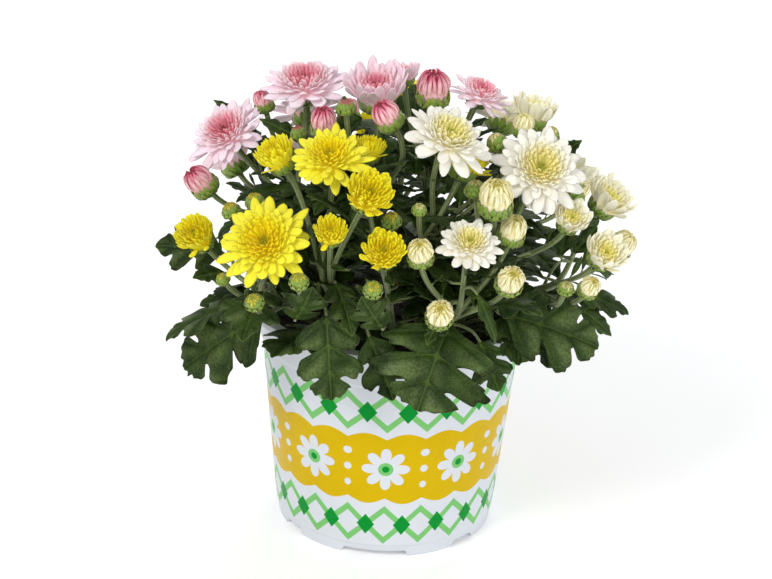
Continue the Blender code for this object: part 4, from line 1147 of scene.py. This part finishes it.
def pot_profile():
    """The pot's section, from the middle of its underside out, up the wall and down inside."""
    foot = wall_radius(0.0) - LEDGE
    under_lip = POT_HEIGHT - LIP_HEIGHT
    floor_top = FOOT_HEIGHT + WALL
    return rounded([
        (AXIS_HOLE, FOOT_HEIGHT),
        (foot - FOOT_WIDTH, FOOT_HEIGHT),
        (foot - FOOT_WIDTH, 0.0),
        (foot, 0.0),
        (wall_radius(STEP_HEIGHT) - LEDGE, STEP_HEIGHT),
        (wall_radius(STEP_HEIGHT), STEP_HEIGHT + LEDGE),
        (wall_radius(COLLAR_HEIGHT), COLLAR_HEIGHT),
        (wall_radius(COLLAR_HEIGHT) + LEDGE, COLLAR_HEIGHT + LEDGE),
        (wall_radius(under_lip) + LEDGE, under_lip),
        (LIP_RADIUS, under_lip + LEDGE),
        (LIP_RADIUS - LEDGE / 2, POT_HEIGHT),
        (inner_radius(POT_HEIGHT), POT_HEIGHT),
        (inner_radius(floor_top), floor_top),
        (AXIS_HOLE, floor_top),
    ], POT_EDGE)


def dress_pot(material):
    """The pot: its section turned round, with notches in the foot and holes in the floor."""
    points, faces = turned_surface(pot_profile(), LATHE_SIDES)
    turn = np.degrees(np.arctan2(points[:, 0], -points[:, 1]))
    on_foot = np.hypot(points[:, 0], points[:, 1]) > POT_WALL_LOW - LEDGE - FOOT_WIDTH - 0.01
    low = np.clip((FOOT_HEIGHT - 1.0 - points[:, 2]) / (FOOT_HEIGHT - 1.0), 0.0, 1.0)
    points[:, 2] += np.where(on_foot, notch_lift(turn) * low, 0.0)
    surfaces = Surfaces()
    surfaces.add(points, faces, 0)
    pot = piece_from("printed_pot", surfaces, (material,), "pot_plastic", "pot")
    cut_drains(pot)
    pot.data.set_sharp_from_angle(angle=math.radians(50))


def cut_drains(pot):
    """Cuts the drain holes through the pot's floor."""
    surfaces = Surfaces()
    low, high = FOOT_HEIGHT - 2, FOOT_HEIGHT + 4
    profile = [(0.2, low), (DRAIN_RADIUS, low), (DRAIN_RADIUS, high), (0.2, high)]
    points, faces = turned_surface(profile, DRAIN_SIDES)
    for place in circle((1.0, 0.0, 0.0), (0.0, 1.0, 0.0), DRAIN_HOLES) * DRAIN_CIRCLE:
        surfaces.add(points + place, faces, 0)
    mesh = bpy.data.meshes.new("drains")
    faces = np.concatenate(surfaces.faces).tolist()
    mesh.from_pydata((np.concatenate(surfaces.points) * MM).tolist(), [], faces)
    cutter = link("drains", mesh)
    holes = pot.modifiers.new("Holes", "BOOLEAN")
    holes.operation, holes.object, holes.solver = "DIFFERENCE", cutter, "MANIFOLD"
    graph = bpy.context.evaluated_depsgraph_get()
    result = bpy.data.meshes.new_from_object(pot.evaluated_get(graph))
    pot.modifiers.clear()
    pot.data = result
    bpy.data.objects.remove(cutter, do_unlink=True)


SOIL_SIDES = 120
SOIL_RINGS = 44
CRUMBS = 780
CRUMB_SIDES = 6
# A crumb's rings: how far along it, as a share of its half length, and how wide
CRUMB_RINGS = ((-0.9, 0.25), (-0.5, 0.8), (0.1, 1.0), (0.6, 0.7), (0.9, 0.25))


def soil_height(x, y):
    """The rough top of the peat."""
    swell = 1.4 * np.sin(0.31 * x + 1.0) * np.cos(0.27 * y)
    rough = 0.5 * np.sin(0.9 * x + 0.4 * y) + 0.45 * np.cos(1.3 * y - 0.6 * x)
    return SOIL_TOP - 1.2 + 0.8 * swell + 0.8 * rough


def dress_soil(material, draw):
    """The peat: a turned filling with a rough top, and crumbs strewn over it."""
    surfaces = Surfaces()
    low = FOOT_HEIGHT + WALL + CLEAR
    edge = inner_radius(SOIL_TOP - 2.0) - SOIL_CLEAR
    profile = [(AXIS_HOLE, low), (inner_radius(low) - 2.0, low),
               (inner_radius(15.0) - SOIL_CLEAR, 15.0), (edge, SOIL_TOP - 3.0)]
    profile += [(edge * share, SOIL_TOP) for share in np.linspace(0.99, 0.005, SOIL_RINGS)]
    points, faces = turned_surface(profile, SOIL_SIDES)
    top = points[:, 2] > SOIL_TOP - 0.5
    points[top, 2] = soil_height(points[top, 0], points[top, 1])
    surfaces.add(points, faces, 0, tone=0.5)
    for _ in range(CRUMBS):
        turn, reach = draw.uniform(0, 2 * math.pi), (edge - 2.5) * math.sqrt(draw.random())
        x, y = reach * math.cos(turn), reach * math.sin(turn)
        place = np.array((x, y, soil_height(x, y) + draw.uniform(-0.1, 0.5)))
        add_crumb(surfaces, place, draw)
    piece_from("peat_fill", surfaces, (material,), "peat", "soil")


def add_crumb(surfaces, place, draw):
    """One knobbly crumb or fibre of peat."""
    size = draw.uniform(0.5, 1.7)
    long = draw.choice((1.0, 1.0, 1.3, 2.6))
    way = unit((draw.uniform(-1, 1), draw.uniform(-1, 1), draw.uniform(-0.3, 0.3)))
    ring = circle(*across(way), CRUMB_SIDES)
    rings = []
    for share, reach in CRUMB_RINGS:
        rough = np.array([draw.uniform(0.75, 1.2) for _ in range(CRUMB_SIDES)])
        rings.append(place + way * share * size * long
                     + ring * (reach * size / math.sqrt(long) * rough)[:, None])
    surfaces.add(np.concatenate(rings), tube_faces(len(rings), CRUMB_SIDES), 0,
                 tone=draw.random())


# Materials

def from_screen(red, green, blue):
    """A colour as the shader takes it, from the 0 to 255 numbers of a screen colour."""
    return tuple((c / 255 / 12.92) if c / 255 <= 0.04045 else ((c / 255 + 0.055) / 1.055) ** 2.4
                 for c in (red, green, blue))


class Value:
    """An output in a material's nodes. Sums on it add the nodes that work them out."""

    def __init__(self, shade, socket):
        self.shade, self.socket = shade, socket

    def __add__(self, other):
        return self.shade.math("ADD", self, other)

    def __sub__(self, other):
        return self.shade.math("SUBTRACT", self, other)

    def __rsub__(self, other):
        return self.shade.math("SUBTRACT", other, self)

    def __mul__(self, other):
        return self.shade.math("MULTIPLY", self, other)

    def __abs__(self):
        return self.shade.math("ABSOLUTE", self)


class Shade:
    """A material built from nodes by short calls.

    A colour in three parts is a screen colour, from 0 to 255. One in four is as the shader takes
    it.
    """

    def __init__(self, name):
        self.material = bpy.data.materials.new(name)
        self.material.use_nodes = True
        self.tree = self.material.node_tree
        self.shader = self.tree.nodes["Principled BSDF"]
        self.place = self.node("ShaderNodeTexCoord", {}, "Object")

    def feed(self, socket, value):
        """Links a value to a socket, or sets the socket to a number or colour."""
        if isinstance(value, Value):
            self.tree.links.new(value.socket, socket)
        elif socket.type == "RGBA" and len(value) == 3:
            socket.default_value = (*from_screen(*value), 1.0)
        else:
            socket.default_value = value

    def node(self, kind, inputs, output=0, **settings):
        """Adds a node, feeds its inputs by name or number, and returns one of its outputs."""
        node = self.tree.nodes.new(kind)
        for name, value in settings.items():
            setattr(node, name, value)
        for key, value in inputs.items():
            self.feed(node.inputs[key], value)
        return Value(self, node.outputs[output])

    def surface(self, **values):
        for name, value in values.items():
            self.feed(self.shader.inputs[name.replace("_", " ")], value)

    def bump(self, height, strength, distance):
        normal = self.node("ShaderNodeBump",
                           {"Height": height, "Strength": strength, "Distance": distance})
        self.feed(self.shader.inputs["Normal"], normal)

    def coordinates(self):
        """The x, y and z of the place that is shaded, in metres."""
        parts = self.node("ShaderNodeSeparateXYZ", {0: self.place})
        return [Value(self, socket) for socket in parts.socket.node.outputs]

    def value(self, name):
        """One of the values that each piece carries at its points."""
        return self.node("ShaderNodeAttribute", {}, "Fac", attribute_name=name)

    def noise(self, scale, detail=3.0, stretch=None):
        place = self.place
        if stretch:
            place = self.node("ShaderNodeMapping", {"Vector": place, "Scale": stretch})
        return self.node("ShaderNodeTexNoise", {"Vector": place, "Scale": scale, "Detail": detail})

    def math(self, operation, *values):
        return self.node("ShaderNodeMath", dict(enumerate(values)), operation=operation)

    def length(self, x, y):
        return self.math("SQRT", x * x + y * y)

    def step(self, value, low, high, start=0.0, end=1.0):
        """A smooth change from start to end as the value goes from low to high."""
        inputs = dict(enumerate((value, low, high, start, end)))
        return self.node("ShaderNodeMapRange", inputs, interpolation_type="SMOOTHSTEP")

    def mix(self, share, first, second):
        """The first colour where the share is 0, and the second where it is 1."""
        inputs = {"Factor": share, 6: first, 7: second}
        return self.node("ShaderNodeMix", inputs, 2, data_type="RGBA")

    def ink(self, colour, away, half, paint):
        """Paint over a colour where a place is less than half away, with a sharp edge."""
        return self.mix(self.step(away, half + INK_EDGE, half), colour, paint)


# Petal colours: the outer petal's blade and base, the inner petal's tip and throat, the petals
# round the middle, and the eye
PETAL_COLOURS = {
    "pink_bloom": ((244, 224, 233), (244, 208, 211), (248, 210, 215), (238, 160, 171),
                   (224, 112, 136), (138, 60, 56)),
    "pink_half": ((243, 218, 227), (243, 206, 208), (246, 198, 206), (230, 138, 153),
                  (208, 90, 118), (124, 46, 50)),
    "pink_bud": ((240, 188, 196), (240, 200, 180), (208, 86, 116), (180, 52, 82),
                 (156, 40, 70), (96, 26, 32)),
    "pink_green": ((196, 120, 110), (130, 144, 66), (182, 84, 104), (140, 60, 60),
                   (130, 50, 60), (110, 40, 50)),
    "yellow_bloom": ((238, 229, 56), (238, 220, 10), (241, 228, 20), (234, 206, 0),
                     (238, 212, 0), (160, 156, 16)),
    "yellow_half": ((238, 227, 40), (236, 212, 4), (241, 228, 18), (230, 198, 0),
                    (226, 206, 0), (158, 166, 16)),
    "yellow_bud": ((248, 232, 60), (226, 200, 40), (248, 226, 40), (206, 160, 20),
                   (190, 160, 20), (150, 130, 30)),
    "yellow_green": ((196, 188, 60), (126, 140, 52), (206, 186, 50), (150, 100, 40),
                     (140, 110, 40), (120, 90, 40)),
    "white_bloom": ((236, 233, 223), (238, 230, 190), (242, 235, 192), (236, 222, 140),
                    (236, 224, 130), (164, 172, 50)),
    "white_half": ((240, 236, 212), (238, 228, 168), (240, 232, 174), (230, 216, 116),
                   (226, 216, 100), (160, 164, 44)),
    "white_bud": ((242, 237, 200), (234, 226, 150), (242, 236, 178), (210, 184, 96),
                  (208, 196, 80), (150, 140, 46)),
    "white_green": ((214, 212, 150), (136, 152, 70), (214, 206, 136), (150, 96, 60),
                    (150, 130, 60), (130, 90, 50)),
}


def petal_material(name, colours):
    """Petals with fine veins along them, pale tips, deeper throats and a dark eye."""
    outer, outer_base, inner, throat, heart, eye = colours
    shade = Shade(name)
    along, sideways = shade.value("along"), shade.value("across")
    age, tone = shade.value("age"), shade.value("tone")
    blade = shade.mix(shade.step(along, 0.0, 0.75), outer_base, outer)
    young = shade.mix(shade.step(along, 0.25, 0.95), throat, inner)
    colour = shade.mix(shade.step(age, 0.15, 0.75), blade, young)
    colour = shade.mix(shade.step(age, 0.55, 0.92, 0.0, 0.75), colour, heart)
    colour = shade.mix(shade.step(age, 0.90, 0.97, 0.0, 0.9), colour, eye)
    veins = shade.math("SINE", sideways * 11.0)
    vivid = shade.mix(0.5, outer_base, throat)
    colour = shade.mix(shade.step(veins, -0.2, 1.0) * 0.10, colour, vivid)
    if name.endswith(("bud", "green")):
        colour = shade.mix(shade.step(along, 0.72, 1.0, 0.0, 0.75), colour, inner)
        colour = shade.mix(shade.step(abs(sideways), 0.60, 0.95, 0.0, 0.5), colour, throat)
    blotch = shade.noise(260.0)
    light = tone * 0.16 + 0.90 + blotch * 0.05
    shade.surface(Base_Color=shade.node("ShaderNodeHueSaturation",
                                        {"Value": light, "Color": colour}),
                  Roughness=shade.step(blotch, 0.3, 0.7, 0.48, 0.62),
                  Specular_IOR_Level=0.18, Sheen_Weight=0.08, Sheen_Roughness=0.5,
                  Subsurface_Weight=0.3, Subsurface_Radius=(0.0008, 0.0007, 0.0006),
                  Subsurface_Scale=1.0, Emission_Color=colour,
                  Emission_Strength=shade.step(along, 1.0, 0.1, 0.02, 0.18))
    # The glow stands in for light through the petals, and is too weak to be sampled as a lamp
    shade.material.cycles.emission_sampling = "NONE"
    shade.bump(veins + blotch * 0.8, 0.25, 0.00012)
    return shade.material


def leaf_material():
    """Dark downy leaves with green ribs, a painted silvery sheen between them, and pale edges and
    undersides.
    """
    shade = Shade("leaf_down")
    vein, edge = shade.value("vein"), shade.value("edge")
    under, tone = shade.value("under"), shade.value("tone")
    patch, fine, down = shade.noise(90.0), shade.noise(900.0, 4.0), shade.noise(2600.0, 2.0)
    colour = shade.mix(shade.step(patch, 0.30, 0.72), (16, 33, 2), (41, 63, 8))
    colour = shade.mix(tone * 0.35, colour, (34, 60, 14))
    between = shade.step(vein, 0.6, 4.5, 0.15, 1.0) * shade.step(fine, 0.38, 0.60, 0.45, 1.0)
    # Painted sheen: silvery patches between the veins are mixed into the colour as a painted
    # highlight, and are also made glossier
    painted_sheen_and_gloss = shade.step(shade.noise(44.0, 2.0), 0.34, 0.66) * between
    colour = shade.mix(painted_sheen_and_gloss * 0.50, colour, (120, 138, 84))
    colour = shade.mix(shade.step(fine, 0.42, 0.75, 0.0, 0.12), colour, (84, 106, 52))
    hairs = shade.step(down, 0.56, 0.66) * shade.step(patch, 0.3, 0.6, 0.02, 0.18)
    colour = shade.mix(hairs, colour, (150, 162, 122))
    rib = shade.step(vein + shade.value("along") * 0.007, 0.70, 0.15, 0.0, 0.36)
    colour = shade.mix(rib, colour, (96, 120, 48))
    colour = shade.mix(shade.step(edge, 0.5, 0.05) * 0.35, colour, (140, 156, 90))
    spot = shade.step(shade.noise(55.0, 5.0), 0.70, 0.76) * shade.step(edge, 3.5, 0.5)
    colour = shade.mix(spot, colour, (150, 100, 40))
    pale = shade.mix(shade.step(fine, 0.3, 0.7), (70, 90, 52), (104, 122, 84))
    colour = shade.mix(under * 0.85, colour, pale)
    shade.surface(Base_Color=colour, Specular_IOR_Level=0.13,
                  Roughness=shade.step(painted_sheen_and_gloss, 0.0, 0.7, 0.50, 0.32) + under * 0.3)
    relief = fine * 0.7 + down * 0.4 + shade.step(vein, 1.8, 0.0, 0.0, -1.6)
    shade.bump(relief, 0.6, 0.0004)
    return shade.material


def stem_material():
    """Pale grey-green downy stems, ridged, and browner near the peat."""
    shade = Shade("stem_down")
    ridge, tone = shade.value("across"), shade.value("tone")
    down, patch = shade.noise(2200.0, 3.0, (1.0, 1.0, 0.3)), shade.noise(120.0)
    colour = shade.mix(shade.step(ridge, -1.0, 1.0), (84, 104, 48), (146, 158, 104))
    colour = shade.mix(tone * 0.3, colour, (112, 126, 60))
    colour = shade.mix(shade.step(patch, 0.35, 0.7, 0.0, 0.35), colour, (98, 110, 62))
    colour = shade.mix(shade.step(down, 0.5, 0.7, 0.0, 0.45), colour, (182, 190, 158))
    low = shade.step(shade.coordinates()[2], 0.125, 0.100, 0.0, 0.6)
    colour = shade.mix(low, colour, (92, 80, 44))
    shade.surface(Base_Color=colour, Roughness=shade.step(down, 0.3, 0.7, 0.5, 0.68),
                  Sheen_Weight=0.3, Sheen_Roughness=0.4)
    shade.bump(down, 0.5, 0.0002)
    return shade.material


def bract_material():
    """Small green bracts with a pale middle and thin red-brown margins."""
    shade = Shade("bract_green")
    along, sideways, tone = shade.value("along"), shade.value("across"), shade.value("tone")
    down = shade.noise(1500.0)
    colour = shade.mix(shade.step(along, 0.1, 0.9), (98, 130, 48), (110, 152, 44))
    colour = shade.mix(tone * 0.5, colour, (150, 180, 60))
    margin = shade.step(abs(sideways), 0.72, 0.98, 0.0, 0.7) * shade.step(along, 0.3, 0.8)
    colour = shade.mix(margin, colour, (168, 128, 62))
    colour = shade.mix(shade.step(along, 0.86, 1.0, 0.0, 0.45), colour, (120, 84, 44))
    colour = shade.mix(shade.step(down, 0.52, 0.72, 0.0, 0.4), colour, (176, 190, 132))
    shade.surface(Base_Color=colour, Roughness=shade.step(down, 0.3, 0.7, 0.45, 0.6),
                  Sheen_Weight=0.25, Sheen_Roughness=0.4)
    shade.bump(down, 0.4, 0.00018)
    return shade.material


def peat_material():
    """Damp dark peat with paler fibres."""
    shade = Shade("peat_crumb")
    grain, fibre = shade.noise(700.0, 6.0), shade.noise(400.0, 4.0, (1.0, 6.0, 1.0))
    colour = shade.mix(shade.step(grain, 0.3, 0.7), (14, 11, 9), (52, 40, 30))
    colour = shade.mix(shade.value("tone") * 0.5, colour, (36, 26, 18))
    colour = shade.mix(shade.step(fibre, 0.66, 0.76, 0.0, 0.5), colour, (104, 80, 52))
    shade.surface(Base_Color=colour, Roughness=shade.step(grain, 0.2, 0.8, 0.75, 0.98))
    shade.bump(grain + fibre, 0.9, 0.0006)
    return shade.material


# The print, in millimetres. The band and the zigzags run round the pot, a daisy or two diamonds
# to each repeat.
PRINT_REPEATS = 10
BAND_MIDDLE, BAND_HALF, SCALLOP = 51.0, 16.5, 3.2
ZIGZAG_MIDDLES, ZIGZAG_REACH, ZIGZAG_HALF = (19.0, 82.5), 9.0, 2.0
DIAMOND_BREADTH, DIAMOND_HEIGHT, DIAMOND_HALF = 38.0, 0.8, 4.6
DAISY_PETALS, DAISY_MIDDLE, DAISY_PETAL_LENGTH = 8, 5.0, 6.6
DAISY_RING, DAISY_EYE = 3.6, 1.7
DOT_AWAY, DOT_RISES, DOT_RADIUS = 18.6, (-9.0, 0.0, 9.0), 1.9
INK_EDGE = 0.14


def pot_material():
    """Cool white plastic with a printed yellow band of daisies between green zigzags."""
    shade = Shade("pot_print")
    x, y, z = shade.coordinates()
    height = z * (1.0 / MM)
    turn = shade.math("ARCTAN2", x, y * -1.0)
    reach = shade.length(x, y) * (1.0 / MM)
    centred = shade.math("FRACT", turn * (PRINT_REPEATS / (2 * math.pi)) + 10.5) - 0.5
    sideways = centred * reach * (2 * math.pi / PRINT_REPEATS)
    speckle = shade.noise(60.0, 2.0)
    white = shade.mix(speckle, (205, 209, 215), (212, 216, 222))
    yellow = shade.mix(speckle, (202, 168, 0), (208, 174, 0))
    light, dark = (118, 188, 108), (0, 138, 46)
    colour = white
    zigzag = abs(centred) * 4.0 - 1.0
    for middle in ZIGZAG_MIDDLES:
        above = height - middle
        for sign in (1.0, -1.0):
            away = abs(above - zigzag * (sign * ZIGZAG_REACH))
            colour = shade.ink(colour, away, ZIGZAG_HALF, light)
        for shift in (0.25, -0.25):
            away = abs(centred - shift) * DIAMOND_BREADTH + abs(above) * DIAMOND_HEIGHT
            colour = shade.ink(colour, away, DIAMOND_HALF, dark)
    above = height - BAND_MIDDLE
    scallop = abs(shade.math("SINE", turn * PRINT_REPEATS)) * SCALLOP
    colour = shade.ink(colour, abs(above) - scallop, BAND_HALF, yellow)
    colour = daisies(shade, colour, sideways, above, (white, light, dark))
    outside = shade.step(reach, POT_WALL_LOW - 2.0, POT_WALL_LOW - 1.9)
    colour = shade.mix(1.0 - outside, colour, white)
    foot = shade.step(height, STEP_HEIGHT + 1.2, STEP_HEIGHT + 1.0)
    colour = shade.mix(foot, colour, white)
    collar = shade.step(height, COLLAR_HEIGHT - 0.4, COLLAR_HEIGHT - 0.2)
    colour = shade.mix(collar, colour, white)
    shade.surface(Base_Color=colour, Roughness=shade.step(speckle, 0.3, 0.7, 0.26, 0.36),
                  Specular_IOR_Level=0.07)
    shade.bump(shade.noise(45.0, 1.0), 0.08, 0.0003)
    return shade.material


def daisies(shade, colour, sideways, above, paints):
    """A row of white daisies with green middles, and dots between them."""
    white, light, dark = paints
    reach = shade.length(sideways, above)
    turn = shade.math("ARCTAN2", above, sideways)
    petals = abs(shade.math("COSINE", turn * (DAISY_PETALS / 2)))
    limit = shade.math("POWER", petals, 0.6) * DAISY_PETAL_LENGTH + DAISY_MIDDLE
    colour = shade.ink(colour, reach - limit, 0.0, white)
    colour = shade.ink(colour, reach, DAISY_RING, light)
    colour = shade.ink(colour, reach, DAISY_EYE, dark)
    beside = DOT_AWAY - abs(sideways)
    for rise in DOT_RISES:
        colour = shade.ink(colour, shade.length(beside, above - rise), DOT_RADIUS, white)
    return colour


def make_materials():
    """All the materials of the plant and pot, by the name of the look."""
    materials = {name: petal_material("petal_" + name, colours)
                 for name, colours in PETAL_COLOURS.items()}
    return materials | {"leaf": leaf_material(), "stem": stem_material(),
                        "bract": bract_material(), "peat": peat_material(),
                        "pot": pot_material()}


# Floor, light and camera

FLOOR_HALF = 8
LIGHT_AIM = Vector((0.0, 0.0, 0.13))
# Each light: its place, size, power and colour
LIGHTS = {
    "key": ((-0.75, -1.0, 1.15), 0.55, 11.5, (1.0, 0.985, 0.96)),
    "fill": ((1.1, -1.1, 0.5), 1.0, 8.0, (0.97, 0.98, 1.0)),
    "back": ((0.3, 1.2, 1.3), 0.8, 8.0, (1.0, 1.0, 1.0)),
}
SKY_COLOUR, SKY_STRENGTH = (0.97, 0.98, 1.0, 1.0), 0.58
CAMERA_AIM = (-0.0033, 0.0, 0.1188)
CAMERA_RISE, CAMERA_ROLL = math.radians(23.74), math.radians(2.29)
CAMERA_AWAY = 1.1
# The focal length and the picture's width in pixels, from the camera's fit to the photo
SENSOR, FOCAL, PICTURE_WIDTH = 36.0, 2251, 772


def make_floor():
    """A wide sheet of white paper for the pot to stand on."""
    mesh = bpy.data.meshes.new("floor")
    corners = [(x * FLOOR_HALF, y * FLOOR_HALF, 0) for x, y in ((-1, -1), (1, -1), (1, 1), (-1, 1))]
    mesh.from_pydata(corners, [], [(0, 1, 2, 3)])
    shade = Shade("floor_paper")
    paper = shade.mix(shade.noise(30.0, 2.0), (0.93, 0.93, 0.93, 1.0), (0.96, 0.96, 0.96, 1.0))
    shade.surface(Base_Color=paper, Roughness=0.9, Emission_Color=(1.0, 1.0, 1.0, 1.0),
                  Emission_Strength=0.17)
    mesh.materials.append(shade.material)
    floor = link("floor", mesh)


def make_lights():
    """Square soft lights that face the plant, and an even pale sky."""
    for name, (place, size, power, colour) in LIGHTS.items():
        light = bpy.data.lights.new(name, "AREA")
        light.size, light.energy, light.color = size, power, colour
        lamp = link(name, light)
        lamp.location = place
        lamp.rotation_euler = (LIGHT_AIM - Vector(place)).to_track_quat("-Z", "Y").to_euler()
    world = bpy.data.worlds.new("studio")
    world.use_nodes = True
    sky = world.node_tree.nodes["Background"]
    sky.inputs["Color"].default_value = SKY_COLOUR
    sky.inputs["Strength"].default_value = SKY_STRENGTH
    bpy.context.scene.world = world


def make_camera():
    """The camera that the pot's outline in the photo was fitted with."""
    lens = bpy.data.cameras.new("camera")
    lens.sensor_width, lens.clip_end = SENSOR, 20.0
    lens.lens = FOCAL / PICTURE_WIDTH * SENSOR
    camera = link("camera", lens)
    back = Vector((0.0, -math.cos(CAMERA_RISE), math.sin(CAMERA_RISE)))
    camera.location = Vector(CAMERA_AIM) + back * CAMERA_AWAY
    roll = Matrix.Rotation(CAMERA_ROLL, 4, "Z").to_quaternion()
    camera.rotation_mode = "QUATERNION"
    camera.rotation_quaternion = back.to_track_quat("Z", "Y") @ roll
    bpy.context.scene.camera = camera


def main():
    """Plans the plant, then sets the stage and puts a fine piece in place of each node."""
    heads, stems = grow()
    only_seen = [leaflets(stems, heads, random.Random(SEED + 2)),
                 inner_leaves(stems, heads, random.Random(SEED + 3))]
    materials = make_materials()
    bpy.context.scene.view_settings.view_transform = "Standard"
    make_floor()
    make_lights()
    make_camera()
    draw = random.Random(SEED + 1)
    dress_pot(materials["pot"])
    dress_soil(materials["peat"], draw)
    for name, stem in stems.items():
        leaves = stem["leaves"] + [leaf for found in only_seen for leaf in found[name]]
        dress_stem(name, stem, leaves, materials, draw)
    counts = {}
    for head in heads:
        if head["form"] != "green":
            label = f"{head['colour']}_{head['form']}"
            counts[label] = counts.get(label, 0) + 1
            dress_head(head, f"{label}_{counts[label]}", materials[label], draw)


main()
